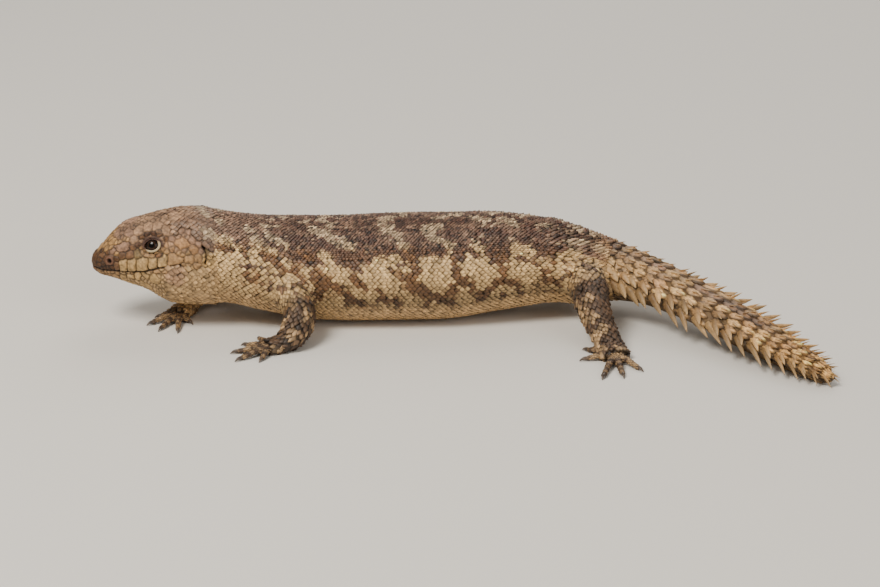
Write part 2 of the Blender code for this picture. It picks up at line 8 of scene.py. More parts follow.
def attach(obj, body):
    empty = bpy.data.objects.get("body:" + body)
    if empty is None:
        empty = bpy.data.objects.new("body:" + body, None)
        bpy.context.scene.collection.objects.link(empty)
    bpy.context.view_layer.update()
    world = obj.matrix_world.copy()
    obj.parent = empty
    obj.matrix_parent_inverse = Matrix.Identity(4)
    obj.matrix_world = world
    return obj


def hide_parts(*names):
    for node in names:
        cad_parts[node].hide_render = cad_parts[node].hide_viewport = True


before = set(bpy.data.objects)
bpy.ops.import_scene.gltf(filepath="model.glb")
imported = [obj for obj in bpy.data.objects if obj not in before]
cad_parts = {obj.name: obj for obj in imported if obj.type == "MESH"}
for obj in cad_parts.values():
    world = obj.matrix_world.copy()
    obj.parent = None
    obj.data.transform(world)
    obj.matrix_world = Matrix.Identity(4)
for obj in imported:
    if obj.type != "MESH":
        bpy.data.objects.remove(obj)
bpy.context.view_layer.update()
bpy.ops.object.select_all(action="DESELECT")


# The skin of the neck, trunk, tail, legs and toes: one soft hide, dark brown between the scales.
# It is drawn round the spine and the four legs as round lengths, grown into one another, and
# then let sag into the folds of the shoulders and flanks. All lengths here are in millimetres.
MM = 0.001
# Where the middle of these lengths lies in the shared frame.
PLACE = np.array((-4.376, 0.549, 0.0))

# Along the spine: x, y, height of the widest line, half width, rise above it, drop below it and
# how boxy the underside is.
BODY = (
    (-112.7, -7.5, 20.9, 0.8, 0.8, 0.8, 2.0),
    (-112.1, -7.5, 21.0, 3.4, 2.2, 2.8, 2.0),
    (-110.8, -7.4, 21.4, 5.6, 3.1, 4.2, 2.1),
    (-109.0, -7.3, 22.0, 7.0, 4.6, 5.5, 2.2),
    (-106.2, -7.2, 22.8, 8.2, 7.0, 7.0, 2.3),
    (-101.7, -6.9, 23.5, 9.8, 10.1, 9.3, 2.4),
    (-95.1, -6.5, 23.0, 11.8, 12.6, 11.0, 2.6),
    (-88.4, -6.0, 21.5, 13.6, 15.6, 13.3, 2.8),
    (-78.5, -5.2, 19.9, 14.4, 17.8, 13.0, 2.6),
    (-68.6, -4.3, 18.3, 15.0, 17.4, 11.9, 2.4),
    (-58.8, -3.2, 16.4, 17.6, 17.6, 12.5, 2.3),
    (-45.9, -1.4, 15.0, 19.6, 17.8, 14.2, 2.3),
    (-32.7, 0.2, 14.3, 20.6, 17.9, 14.9, 2.25),
    (-13.1, 1.6, 14.2, 21.4, 18.3, 14.9, 2.25),
    (3.3, 2.4, 14.3, 21.0, 18.2, 14.9, 2.25),
    (19.9, 3.0, 15.4, 18.6, 17.0, 13.4, 2.3),
    (36.4, 3.4, 15.6, 15.6, 14.6, 11.6, 2.3),
    (46.1, 3.4, 13.8, 14.2, 13.4, 10.6, 2.3),
    (56.0, 2.4, 12.6, 12.4, 11.0, 9.4, 2.2),
    (65.5, -2.6, 11.6, 11.2, 9.4, 8.4, 2.2),
    (75.0, -11.4, 10.4, 10.8, 8.3, 7.9, 2.2),
    (84.2, -21.4, 9.0, 10.4, 7.4, 7.4, 2.2),
    (94.9, -34.7, 7.4, 9.5, 6.4, 7.7, 2.2),
    (105.3, -48.6, 5.8, 7.6, 5.0, 6.8, 2.2),
    (112.8, -58.0, 4.4, 5.4, 3.7, 5.4, 2.2),
    (117.4, -63.4, 3.2, 3.2, 2.5, 3.8, 2.2),
    (119.0, -65.3, 2.6, 1.2, 1.2, 1.4, 2.0),
)
UPPER_BOXINESS = 2.05

# Along each leg: x, y, height, half width and half height.
LEGS = {
    "left_fore": (
        (-52, -8, 15, 6.4, 6.6), (-49, -17, 14, 5.6, 5.9), (-44.8, -25.5, 10.6, 5.0, 5.3),
        (-45, -30, 7.2, 4.8, 4.8), (-46.8, -33, 4.4, 4.6, 3.7), (-50.2, -34.8, 2.2, 4.0, 2.6),
        (-54, -36.2, 1.7, 4.0, 2.1)),
    "right_fore": (
        (-55, 6, 15, 6.2, 6.4), (-60, 14.5, 14, 5.3, 5.5), (-68.5, 19, 10.6, 4.8, 4.8),
        (-75.4, 13.4, 6.6, 4, 4), (-80.4, 5.4, 3.9, 3.3, 3.0), (-83.6, -1.6, 2.2, 3.6, 2.5),
        (-85.8, -6.2, 1.7, 4.0, 2.1)),
    "left_hind": (
        (46, -4, 15, 7.4, 7.2), (47.8, -14.5, 14.6, 6.2, 6.2), (48.8, -23.5, 11.4, 5.2, 5.4),
        (50.4, -29, 7.4, 4.5, 4.8), (52.4, -33.8, 4.4, 4.2, 3.8), (54, -38.8, 2.3, 4.4, 2.7),
        (55, -43.4, 1.7, 4.8, 2.1)),
    "right_hind": (
        (46, 9, 15, 7.4, 7.2), (43, 19.5, 14.6, 6.3, 6.4), (41.4, 28, 11.2, 5.6, 5.7),
        (43.8, 34, 7.4, 5, 5), (46, 39, 4.4, 4.4, 3.8), (46.6, 44, 2.3, 4.4, 2.7),
        (46.2, 48.6, 1.7, 4.8, 2.1)),
}

# The tips of the claws on the ground.
TOES = {
    "left_fore": ((-58.6, -24.4), (-63.4, -30.6), (-66.2, -38), (-64.2, -45), (-56.6, -45.6)),
    "right_fore": ((-80.4, -12.2), (-84.6, -20), (-91, -18.4), (-95.4, -13), (-93.6, -5.6)),
    "left_hind": ((45, -34.6), (43.6, -44.2), (49.8, -60), (56.6, -59), (63, -53.4)),
    "right_hind": ((36.4, 45.8), (35, 53.6), (38.4, 62.4), (44.6, 66), (53, 60.4)),
}
TOE_RADIUS = 1.14
CLAW_LENGTH = 2.3
SKIN_DEPTH = 0.35


def unit(v):
    """The same vectors, one long."""
    return v / np.maximum(np.linalg.norm(v, axis=-1, keepdims=True), 1e-9)


class Track:
    """Values that change smoothly along a length, read between a few stations."""

    def __init__(self, rows, places):
        self.rows = np.array(rows, float)
        steps = np.linalg.norm(np.diff(self.rows[:, :places], axis=0), axis=1)
        self.knots = np.concatenate([[0.0], np.cumsum(steps)])
        self.length = self.knots[-1]
        last = len(rows) - 1
        ahead = np.minimum(np.arange(last + 1) + 1, last)
        behind = np.maximum(np.arange(last + 1) - 1, 0)
        run = (self.knots[ahead] - self.knots[behind])[:, None]
        self.slopes = (self.rows[ahead] - self.rows[behind]) / run

    def at(self, s):
        s = np.clip(s, 0.0, self.length)
        i = np.clip(np.searchsorted(self.knots, s, side="right") - 1, 0, len(self.knots) - 2)
        width = (self.knots[i + 1] - self.knots[i])[..., None]
        t = (s - self.knots[i])[..., None] / width
        held = self.rows[i] * (2 * t**3 - 3 * t**2 + 1) + self.rows[i + 1] * (3 * t**2 - 2 * t**3)
        pull = self.slopes[i] * (t**3 - 2 * t**2 + t) + self.slopes[i + 1] * (t**3 - t**2)
        return held + pull * width

    def direction(self, s, places):
        way = np.zeros(np.shape(s) + (3,))
        way[..., :places] = (self.at(s + 0.2) - self.at(s - 0.2))[..., :places]
        return unit(way)


spine = Track(BODY, 2)
leg_tracks = {name: Track(rows, 3) for name, rows in LEGS.items()}


def on_body(s, angle, grow=0.0):
    """Points of the body's surface. angle is 0 on the back and grows towards the left side."""
    s, angle = np.broadcast_arrays(np.asarray(s, float), np.asarray(angle, float))
    x, y, level, width, up, down, boxy = np.moveaxis(spine.at(s), -1, 0)
    along = spine.direction(s, 2)
    above = np.cos(angle) > 0
    power = 2 / np.where(above, UPPER_BOXINESS, boxy)
    side = np.sign(np.sin(angle)) * np.abs(np.sin(angle)) ** power * (width + grow)
    rise = np.sign(np.cos(angle)) * np.abs(np.cos(angle)) ** power
    height = level + rise * (np.where(above, up, down) + grow)
    return np.stack([x + along[..., 1] * side, y - along[..., 0] * side, np.maximum(height, 0)], -1)


def frames_on_body(s, angle, grow=0.0):
    """Points with the directions to the rear, round the body and outwards."""
    s, angle = np.broadcast_arrays(np.asarray(s, float), np.asarray(angle, float))
    rear = on_body(s + 0.3, angle, grow) - on_body(s - 0.3, angle, grow)
    round_it = on_body(s, angle + 0.02, grow) - on_body(s, angle - 0.02, grow)
    out = unit(np.cross(round_it, rear))
    rear = unit(rear - out * (rear * out).sum(-1, keepdims=True))
    return on_body(s, angle, grow), np.stack([rear, np.cross(out, rear), out], -2)


TABLE_S = np.linspace(0, spine.length, 540)
TABLE_ANGLE = np.linspace(0, np.pi, 241)
half_rings = on_body(TABLE_S[:, None], TABLE_ANGLE[None, :])
walked = np.cumsum(np.linalg.norm(np.diff(half_rings, axis=1), axis=-1), axis=1)
walked = np.concatenate([np.zeros((len(TABLE_S), 1)), walked], axis=1)
TABLE_GIRTH = walked[:, -1] * 2
TABLE_SHARE = np.linspace(0, 1, 201)
TABLE_TURN = np.stack([np.interp(TABLE_SHARE, w / w[-1], TABLE_ANGLE) for w in walked])


def turn_at(s, share):
    """The angle that lies a share of the half girth from the back. Shares run from -1 to 1."""
    row = np.clip(s / spine.length * (len(TABLE_S) - 1), 0, len(TABLE_S) - 1.001)
    col = np.clip(np.abs(share) * (len(TABLE_SHARE) - 1), 0, len(TABLE_SHARE) - 1.001)
    i, j = row.astype(int), col.astype(int)
    u, v = row - i, col - j
    near = TABLE_TURN[i, j] * (1 - v) + TABLE_TURN[i, j + 1] * v
    far = TABLE_TURN[i + 1, j] * (1 - v) + TABLE_TURN[i + 1, j + 1] * v
    return np.sign(share) * (near * (1 - u) + far * u)


def length_at(x):
    """The length along the spine at which it passes x."""
    return np.interp(x, spine.at(TABLE_S)[:, 0], TABLE_S)


def angle_at(s, height):
    """The angle at which the body's side passes a height."""
    level, up, down, boxy = (spine.at(s)[..., k] for k in (2, 4, 5, 6))
    above = height > level
    power = 2 / np.where(above, UPPER_BOXINESS, boxy)
    part = np.minimum(np.abs(height - level) / np.where(above, up, down), 1.0)
    from_top = np.arccos(part ** (1 / power))
    return np.where(above, from_top, np.pi - from_top)


def frames_on_leg(track, s, turn, grow=0.0):
    """Points round a leg with the directions to the foot, round the leg and outwards."""
    s, turn = np.broadcast_arrays(np.asarray(s, float), np.asarray(turn, float))
    row = track.at(s)
    along = track.direction(s, 3)
    across = unit(np.cross(along, (0, 0, 1.0)))
    up = unit(np.cross(across, along))
    c, d = np.cos(turn)[..., None], np.sin(turn)[..., None]
    width, height = row[..., 3:4] + grow, row[..., 4:5] + grow
    spot = row[..., :3] + across * c * width + up * d * height
    out = unit(across * c * height + up * d * width)
    spot[..., 2] = np.maximum(spot[..., 2], 0)
    return spot, np.stack([along, np.cross(out, along), out], -2)


def toe_bones(leg, tip):
    """The line of one toe from the palm to the root of its claw, its radii and its heading."""
    track = leg_tracks[leg]
    palm, knuckles = track.at(track.length - 4.0)[:3], track.at(track.length)[:3]
    tip = np.array(tip + (0.0,))
    way = unit((tip - palm) * (1, 1, 0))
    root = palm + (knuckles - palm) * 0.6 + way * 2.6
    root[2] = TOE_RADIUS - 0.08
    reach = np.linalg.norm((tip - root)[:2]) - CLAW_LENGTH
    way = unit((tip - root) * (1, 1, 0))
    line = np.array([root - way * 2.2, root + way * reach * 0.3 + (0, 0, 0.5),
                     root + way * reach * 0.68 + (0, 0, 0.15), root + way * reach - (0, 0, 0.4)])
    return line, np.array((1.05, 0.98, 0.86, 0.74)) * TOE_RADIUS, way


def tube_rings(line, radii, sides, steps):
    """Rings round a smoothed line."""
    rows = [tuple(p) + (r,) for p, r in zip(line, radii)]
    track = Track(rows, 3)
    s = np.linspace(0, track.length, steps)
    row = track.at(s)
    along = track.direction(s, 3)
    across = unit(np.cross(along, (0, 0, 1.0)))
    up = np.cross(across, along)
    turn = np.linspace(0, 2 * np.pi, sides, endpoint=False)[None, :, None]
    spread = across[:, None] * np.cos(turn) + up[:, None] * np.sin(turn)
    return row[:, None, :3] + spread * row[:, None, 3:4]


def skinned(rings):
    """Points and triangles of a row of rings, with both ends closed by a fan."""
    n, m = rings.shape[:2]
    at = np.arange(n * m).reshape(n, m)
    a, b = at[:-1], at[1:]
    c, d = np.roll(b, -1, axis=1), np.roll(a, -1, axis=1)
    faces = np.concatenate([np.stack([a, d, c], -1).reshape(-1, 3), np.stack([a, c, b], -1).reshape(-1, 3)])
    points = np.concatenate([rings.reshape(-1, 3), rings[0].mean(0)[None], rings[-1].mean(0)[None]])
    first = np.stack([np.full(m, n * m), np.roll(at[0], -1), at[0]], -1)
    last = np.stack([np.full(m, n * m + 1), at[-1], np.roll(at[-1], -1)], -1)
    return points, np.concatenate([faces, first, last])


def joined(parts):
    """Several meshes of points and triangles as one."""
    points, faces, start = [], [], 0
    for p, f in parts:
        points.append(p)
        faces.append(f + start)
        start += len(p)
    return np.concatenate(points), np.concatenate(faces)


def outward(points, faces):
    """The same faces, turned so that the closed shape holds a positive volume."""
    a, b, c = (points[faces[:, k]] for k in range(3))
    volume = (np.cross(a, b) * c).sum()
    return faces if volume > 0 else faces[:, ::-1]


def in_metres(points):
    """Points in the shared frame, in the form that a mesh takes."""
    return ((points + PLACE) * MM).astype(np.float32).ravel()


def new_piece(name, points, faces, tints=None, bake_uv=None):
    """A smooth mesh object from points in millimetres, with a colour at each point."""
    mesh = bpy.data.meshes.new(name)
    mesh.vertices.add(len(points))
    mesh.vertices.foreach_set("co", in_metres(points))
    mesh.loops.add(faces.size)
    mesh.loops.foreach_set("vertex_index", faces.astype(np.int32).ravel())
    mesh.polygons.add(len(faces))
    mesh.polygons.foreach_set("loop_start", np.arange(0, faces.size, faces.shape[1], dtype=np.int32))
    mesh.update(calc_edges=True)
    mesh.shade_smooth()
    obj = bpy.data.objects.new(name, mesh)
    bpy.context.scene.collection.objects.link(obj)
    if tints is not None:
        set_tints(obj, tints)
    if bake_uv is not None:
        layer = mesh.uv_layers.new(name="OFBake")
        layer.data.foreach_set("uv", bake_uv[faces.ravel()].astype(np.float32).ravel())
    return obj


# The camera's view washes colours out, so each is laid on this much deeper.
COLOUR_DEPTH = 1.45


def set_tints(obj, tints):
    """Lays a colour on each point of a mesh."""
    layer = obj.data.color_attributes.new("tint", "FLOAT_COLOR", "POINT")
    deep = np.clip(tints, 0, 1) ** COLOUR_DEPTH
    rgba = np.concatenate([deep, np.ones((len(tints), 1))], axis=1).astype(np.float32)
    layer.data.foreach_set("color", rgba.ravel())


def points_of(obj):
    """The points of a mesh, in millimetres."""
    co = np.empty(len(obj.data.vertices) * 3, np.float32)
    obj.data.vertices.foreach_get("co", co)
    return co.reshape(-1, 3).astype(float) / MM - PLACE


# Large odd numbers that scatter the corners of the noise's cells.
LATTICE_PRIMES = (374761393, 668265263, 1103515245)
LOW_BITS = 0x7FFFFFFF


def noise(points, size, seed):
    """Smooth noise from -1 to 1 with lumps of about a size."""
    p = points / size + seed * 17.31
    cell = np.floor(p).astype(np.int64)
    t = p - cell
    t = t * t * (3 - 2 * t)
    total = 0.0
    for corner in range(8):
        step = np.array((corner & 1, corner >> 1 & 1, corner >> 2 & 1))
        at = cell + step
        mixed = (at @ np.array(LATTICE_PRIMES) + seed * 97) & LOW_BITS
        mixed = ((mixed ^ (mixed >> 13)) * 1274126177) & LOW_BITS
        value = ((mixed ^ (mixed >> 16)) & 0xFFFF) / 32767.5 - 1
        weight = np.prod(np.where(step == 1, t, 1 - t), axis=-1)
        total = total + value * weight
    return total


def ease(low, high, value):
    """A smooth step from 0 at low to 1 at high."""
    t = np.clip((value - low) / (high - low), 0, 1)
    return t * t * (3 - 2 * t)


def blend(a, b, share):
    """A mix of two colours, all b where the share is 1."""
    share = np.asarray(share)[..., None]
    return np.asarray(a) * (1 - share) + np.asarray(b) * share


# The colours of the hide.
DARK_BACK = (0.14, 0.082, 0.06)
GREY_BACK = (0.285, 0.197, 0.143)
WARM_BACK = (0.20, 0.118, 0.066)
PALE_BACK = (0.45, 0.355, 0.25)
CREAM_FLANK = (0.585, 0.435, 0.25)
BROWN_FLANK = (0.235, 0.138, 0.068)
CREAM_BELLY = (0.57, 0.415, 0.24)
TAIL_CREAM = (0.62, 0.44, 0.245)
SPINE_TIP = (0.70, 0.53, 0.33)
TAIL_BROWN = (0.30, 0.175, 0.095)
TAIL_GREY = (0.32, 0.22, 0.17)
LEG_DARK = (0.15, 0.098, 0.062)
LEG_PALE = (0.48, 0.348, 0.21)

# Pale patches of the left side: where each starts and ends, as a length along the spine and
# degrees from the middle of the back, and its half width.
PALE_PATCHES = (
    (34.5, 0, 37, 15, 1.2), (39.5, 14, 41.5, 24, 1.0), (36, 39, 38, 47, 1.2), (38, 41, 41.5, 52, 1.5),
    (42, 40, 44.5, 52, 1.4), (45.5, 55, 47.5, 62, 1.2), (49.5, 26, 51.5, 31, 1.0),
    (50.5, 37, 53, 38, 1.4), (51.5, 46, 54, 51, 1.6), (55, 5, 58, 3, 1.2), (55, 17, 60, 19, 1.0),
    (56, 30, 60, 41, 1.2), (59.5, 38, 61.5, 44, 1.4), (56.5, 47, 58, 51, 1.3), (69, 7, 72, -12, 1.5),
    (70.5, 15, 72.5, 27, 1.6), (73.5, 2, 77, 14, 1.3), (74, 21, 79, 38, 1.6), (76.5, 32, 83.5, 44, 1.7),
    (72.5, 52, 76.5, 59, 1.6), (91, -6, 95.5, 4, 1.6), (94.5, 17, 99, 34, 2.0),
    (98, 34, 100.5, 46, 1.7), (90, 68, 97, 56, 2.8), (94, 73, 100, 70, 2.8), (109.5, -4, 114, 4, 1.6),
    (108, 22, 113, 19, 1.7), (109.5, 31, 115.5, 44, 1.7), (107.5, 61, 113.5, 61, 2.3),
    (107, 74, 114, 75, 2.8), (123.5, 3, 128.5, 15, 1.6), (124, 42, 125.5, 52, 1.6),
    (121.5, 63, 125.5, 64, 2.3), (122, 73, 128.5, 76, 2.8), (133, 6, 137.5, 20, 1.5),
    (138, 53, 141.5, 58, 2.3), (136.5, 70, 142, 75, 2.6), (138, 87, 142, 102, 3.0),
    (152, 37, 161.5, 26, 1.8), (152.5, 58, 158.5, 52, 2.0), (145.5, 14, 151, 17, 1.3),
    (155.5, 4, 159, 5, 1.2),
)
# Brown bars and zigzags that cross the cream of the lower flank, in the same measures.
BROWN_STREAKS = (
    (48.5, 55, 49.5, 68, 0.8), (49.5, 68, 50, 78, 1.1), (50, 78, 48.5, 91, 0.8),
    (52, 77, 52.5, 86, 1.0), (52.5, 86, 54, 90, 0.8), (40, 57, 45, 58, 1.3), (48, 39, 50.5, 47, 1.2),
    (54, 54, 58.5, 67, 1.1), (56.5, 59, 60, 71, 1.2), (63, 61, 65, 73, 1.2), (65, 73, 67.5, 84, 1.0),
    (69, 75, 73, 86, 1.4), (70.5, 66, 75.5, 81, 1.0), (67, 50, 70.5, 60, 1.2), (70.5, 90, 73, 97, 1.2),
    (67.5, 93, 69.5, 100, 0.9), (75.5, 80, 86, 101, 1.3), (83.5, 75, 87, 86, 1.3),
    (91.5, 86, 94, 101, 1.5), (86.5, 99, 86.5, 114, 1.2), (96.5, 69, 100, 75, 1.0),
    (102, 50, 104, 70, 1.9), (103, 70, 101.5, 83, 1.9), (101.5, 83, 107.5, 90, 1.5),
    (107.5, 90, 112.5, 102, 1.5), (112.5, 102, 116, 89, 1.0), (116, 89, 118, 78, 1.5),
    (117, 62, 118, 80, 1.8), (118.5, 80, 122.5, 87, 1.5), (122.5, 87, 125.5, 105, 1.2),
    (125.5, 105, 128, 94, 1.2), (128, 94, 132, 85, 1.4), (132, 62, 133, 86, 1.8),
    (133, 86, 137.5, 91, 1.5), (137.5, 91, 139.5, 111, 1.2), (144, 68, 144.5, 83, 0.8),
    (146, 80, 147, 104, 0.9), (148.5, 68, 148.5, 88, 0.9), (149.5, 94, 149.5, 125, 0.8),
    (151, 75, 151.5, 96, 0.8), (153.5, 65, 154.5, 82, 0.9), (97.5, 97, 99, 115, 1.2),
    (109, 102, 106, 115, 1.0), (117, 100, 115, 117, 1.0), (133.5, 106, 131.5, 126, 1.0),
    (81, 103, 82.5, 120, 1.1),
)
# Creases of the hide over the shoulder and in front of the thigh, drawn only as painted shade.
CREASE_SHADOWS = (
    (50.5, 70, 57, 73, 0.35), (57, 73, 63, 83, 0.35), (63, 83, 66.5, 95, 0.35), (52, 81, 61, 87, 0.3),
    (53.5, 88, 60, 91, 0.3), (55, 93, 59.5, 100, 0.3), (48, 73, 50.5, 70, 0.35),
    (156, 102, 159, 85, 0.35), (159, 85, 161.5, 78, 0.35),
)
# A degree round the body in millimetres, and how far the right side's patches are set along.
DEGREE = 0.30
OTHER_SIDE_SHIFT = 5.5
# Where along the spine one colouring gives way to the next.
NECK_FADES, NAPE_FADES, HIPS_BEGIN = (70, 50), (60, 43), (146, 160)
TAIL_BEGINS, TAIL_TIP_BEGINS, RIDGE_FADES = (158, 182), (215, 255), (262, 225)
# Where round the body it does so, in degrees from the middle of the back, and where the painted shade of the
# lower flank deepens.
BACK_WARMS, PALE_WARMS, FLANK_BEGINS = (35, 62), (32, 58), 66
LOWER_FLANK_SHADE, BELLY_BEGINS, RIDGE_EDGE = (72, 108), (104, 118), (34, 8)


def streaks(rows, s, degrees):
    """How far each point lies inside the nearest of some streaks, in millimetres."""
    deepest = np.full(np.shape(s), -99.0)
    for s0, d0, s1, d1, half in rows:
        run, drop = s1 - s0, (d1 - d0) * DEGREE
        share = ((s - s0) * run + (degrees - d0) * DEGREE * drop) / (run * run + drop * drop)
        share = np.clip(share, 0, 1)
        away = np.hypot(s - s0 - share * run, (degrees - d0) * DEGREE - share * drop)
        deepest = np.maximum(deepest, half - away)
    return deepest


def markings(points, s, turn):
    """The colour of the hide: pale broken patches on a dark back over cream flanks, with painted shade on
    the lower flanks and in the creases.
    """
    degrees = np.abs(np.degrees(turn))
    shifted = s - np.where(turn < 0, OTHER_SIDE_SHIFT, 0.0)
    wobble = 1.3 * noise(points, 2.6, 3) + 0.7 * noise(points, 1.2, 5)
    off_ridge = np.where(degrees < 6, 0.0, 1.0)
    pale = ease(-0.4, 0.4, streaks(PALE_PATCHES, shifted, degrees) + wobble - 0.2)
    stray = ease(0.62, 0.8, noise(points, 2.2, 9)) * 0.5
    pale = np.maximum(pale, stray * off_ridge)
    brown = ease(-0.35, 0.35, streaks(BROWN_STREAKS, shifted, degrees) + 0.6 * wobble - 0.12)
    crease_shade = ease(-0.15, 0.15, streaks(CREASE_SHADOWS, shifted, degrees) + 0.12)
    neck = ease(*NECK_FADES, s)
    edge = FLANK_BEGINS - 15 * neck + 7 * noise(points, 6.0, 11) + 3 * noise(points, 2.5, 12)
    flank = ease(-3, 4, degrees - edge)
    hips = ease(*HIPS_BEGIN, s)
    tail = ease(*TAIL_BEGINS, s)
    back = blend(DARK_BACK, GREY_BACK, ease(-0.5, 0.9, noise(points, 1.6, 21)))
    back = blend(back, np.array(GREY_BACK) * 1.05, ease(*NAPE_FADES, s) * 0.8)
    back = blend(back, WARM_BACK, ease(*BACK_WARMS, degrees) * 0.8 * (1 - hips) * ease(44, 62, s))
    speckled = ease(-0.1, 0.5, noise(points, 2.6, 23) + (degrees - 30) / 60 * tail) * hips
    light = blend(PALE_BACK, CREAM_FLANK, ease(*PALE_WARMS, degrees))
    upper = blend(back, light, np.maximum(pale, 0.95 * speckled))
    faint = ease(0.1, 0.6, noise(points * (1.0, 1.0, 0.6), 3.4, 27)) * ease(80, 96, degrees) * 0.6
    lower = blend(CREAM_FLANK, BROWN_FLANK, np.maximum(brown, faint) * (1 - tail))
    # Painted shade: the lower flanks grow darker towards the belly, less so on the neck.
    lower = lower * (1.06 + 0.05 * neck - (0.42 - 0.25 * neck) * ease(*LOWER_FLANK_SHADE, degrees))[..., None]
    trunk = blend(upper, lower, np.maximum(flank, 0))
    trunk = blend(trunk, BROWN_FLANK, brown * ease(40, 52, degrees) * (1 - flank) * (1 - tail))
    # Painted shade along the creases.
    trunk = blend(trunk, DARK_BACK, 0.8 * crease_shade)
    ridge = ease(*RIDGE_EDGE, degrees) * ease(-0.5, 0.3, noise(points, 4.0, 25)) * ease(*RIDGE_FADES, s)
    blotch = ease(0.0, 0.5, noise(points, 2.6, 28)) * 0.55
    tail_colour = blend(blend(TAIL_CREAM, TAIL_BROWN, blotch), TAIL_GREY, 0.85 * ridge)
    tip = ease(*TAIL_TIP_BEGINS, s)
    tail_colour = tail_colour * blend((1.06, 1.05, 1.03), (1.18, 1.09, 0.88), tip)
    colour = blend(trunk, tail_colour, tail)
    return blend(colour, CREAM_BELLY, ease(*BELLY_BEGINS, degrees) * (1 - 0.7 * tail))


def leg_markings(points, front=0.0):
    """The colour of the legs: grey-brown with pale flecks, most in front of the hind legs."""
    hind = ease(0, 40, points[:, 0])
    spread = noise(points, 3.6, 31) + 0.6 * noise(points, 1.5, 32)
    fleck = ease(0.05, 0.45, spread + hind * (0.1 + 0.45 * front))
    return blend(LEG_DARK, LEG_PALE, fleck * 0.85)


# The tail's spines grow over this stretch, and the skin lies deeper under them.
SPINES_BEGIN = (158, 190)
SPINES_DEPTH, EAVES_DEPTH = 0.9, 4.2


def core(s, turn):
    """How deep the skin lies under the solids' surface: far under the spines of the tail."""
    grown = ease(*SPINES_BEGIN, s) * np.clip(spine.at(s)[..., 3] / 10.5, 0, 1)
    degrees = np.abs(np.degrees(turn))
    eaves = ease(86, 112, degrees) * ease(178, 158, degrees)
    return -SKIN_DEPTH - grown * (SPINES_DEPTH + EAVES_DEPTH * eaves)


# The skin starts inside the rear of the head. The first step is between its rings, and the
# cell, in metres, is that in which its parts grow together.
SKIN_START, SKIN_STEP, SKIN_CELL = 36.5, 0.9, 0.0007
GRID_START, GRID_STEP = 36.0, 1.0
# Between the scales the skin is darker than they are: partly its own dark brown, partly painted shade of the
# hollows under the scales and spines.
SKIN_SHADE = 0.42

skin_s = np.arange(SKIN_START, spine.length, SKIN_STEP)
skin_shares = np.linspace(-1, 1, 120, endpoint=False)
skin_turns = turn_at(skin_s[:, None], skin_shares[None, :] * np.ones((len(skin_s), 1)))
limbs = [skinned(on_body(skin_s[:, None], skin_turns, core(skin_s[:, None], skin_turns)))]
for leg, track in leg_tracks.items():
    around = np.linspace(0, 2 * np.pi, 36, endpoint=False)
    stations = np.linspace(0.5, track.length + 0.8, 60)
    limbs.append(skinned(frames_on_leg(track, stations[:, None], around[None, :], -0.25)[0]))
    for tip in TOES[leg]:
        line, radii = toe_bones(leg, tip)[:2]
        limbs.append(skinned(tube_rings(line, radii - 0.1, 14, 18)))
limbs = [(points, outward(points, faces)) for points, faces in limbs]
skin = new_piece("skin", *joined(limbs))
skin.modifiers.new("grow_together", "REMESH").mode = "VOXEL"
skin.modifiers["grow_together"].voxel_size = SKIN_CELL
bpy.context.view_layer.objects.active = skin
bpy.ops.object.modifier_apply(modifier="grow_together")

grid_s = np.arange(GRID_START, spine.length, GRID_STEP)
grid_share = np.linspace(-1, 1, 110, endpoint=False)
grid_s, grid_share = (g.ravel() for g in np.meshgrid(grid_s, grid_share, indexing="ij"))
grid_turn = turn_at(grid_s, grid_share)
grid_points, grid_frames = frames_on_body(grid_s, grid_turn, core(grid_s, grid_turn))


def tree_of(points):
    """A tree that finds the nearest of some points."""
    tree = KDTree(len(points))
    for i, p in enumerate(points):
        tree.insert(p, i)
    tree.balance()
    return tree


body_tree = tree_of(grid_points)


def lift_of(points):
    """How far points stand out from the trunk, and the nearest point of its grid."""
    index = np.array([body_tree.find(p)[1] for p in points])
    return ((points - grid_points[index]) * grid_frames[index, 2]).sum(-1), index


# The armpits and groins: skin drawn smooth over the roots of the legs.
LEG_ROOTS = (4, 26)
FOLD_REACH = (6.5, 1.5)
SOFTENING, FOLD_SOFTENING = 5, 45
root_lengths, root_turns = np.meshgrid(np.linspace(*LEG_ROOTS, 45), np.linspace(0, 6.2, 40), indexing="ij")
root_rings = np.concatenate([frames_on_leg(track, root_lengths, root_turns)[0].reshape(-1, 3)
                             for track in leg_tracks.values()])
root_rings = root_rings[np.abs(lift_of(root_rings)[0]) < 0.7]
seam_tree = tree_of(root_rings)
away = np.array([seam_tree.find(p)[2] for p in points_of(skin)])
weights = ease(*FOLD_REACH, away)
folds = skin.vertex_groups.new(name="folds")
for i in np.flatnonzero(weights > 0.01):
    folds.add([int(i)], float(weights[i]), "REPLACE")
for name, turns, group in (("soften", SOFTENING, ""), ("drawn_skin", FOLD_SOFTENING, "folds")):
    smooth = skin.modifiers.new(name, "SMOOTH")
    smooth.factor = 0.5
    smooth.iterations = turns
    smooth.vertex_group = group
    bpy.ops.object.modifier_apply(modifier=name)

skin_points = points_of(skin)
lift, nearest = lift_of(skin_points)
skin_points[:, 2] = np.maximum(skin_points[:, 2], 0.02)
skin.data.vertices.foreach_set("co", in_metres(skin_points))
skin.data.update()
skin.data.shade_smooth()
body_tint = markings(skin_points, grid_s[nearest], grid_turn[nearest])
limb_tint = leg_markings(skin_points)
set_tints(skin, blend(body_tint, limb_tint, ease(1.0, 7.0, lift)) * SKIN_SHADE)


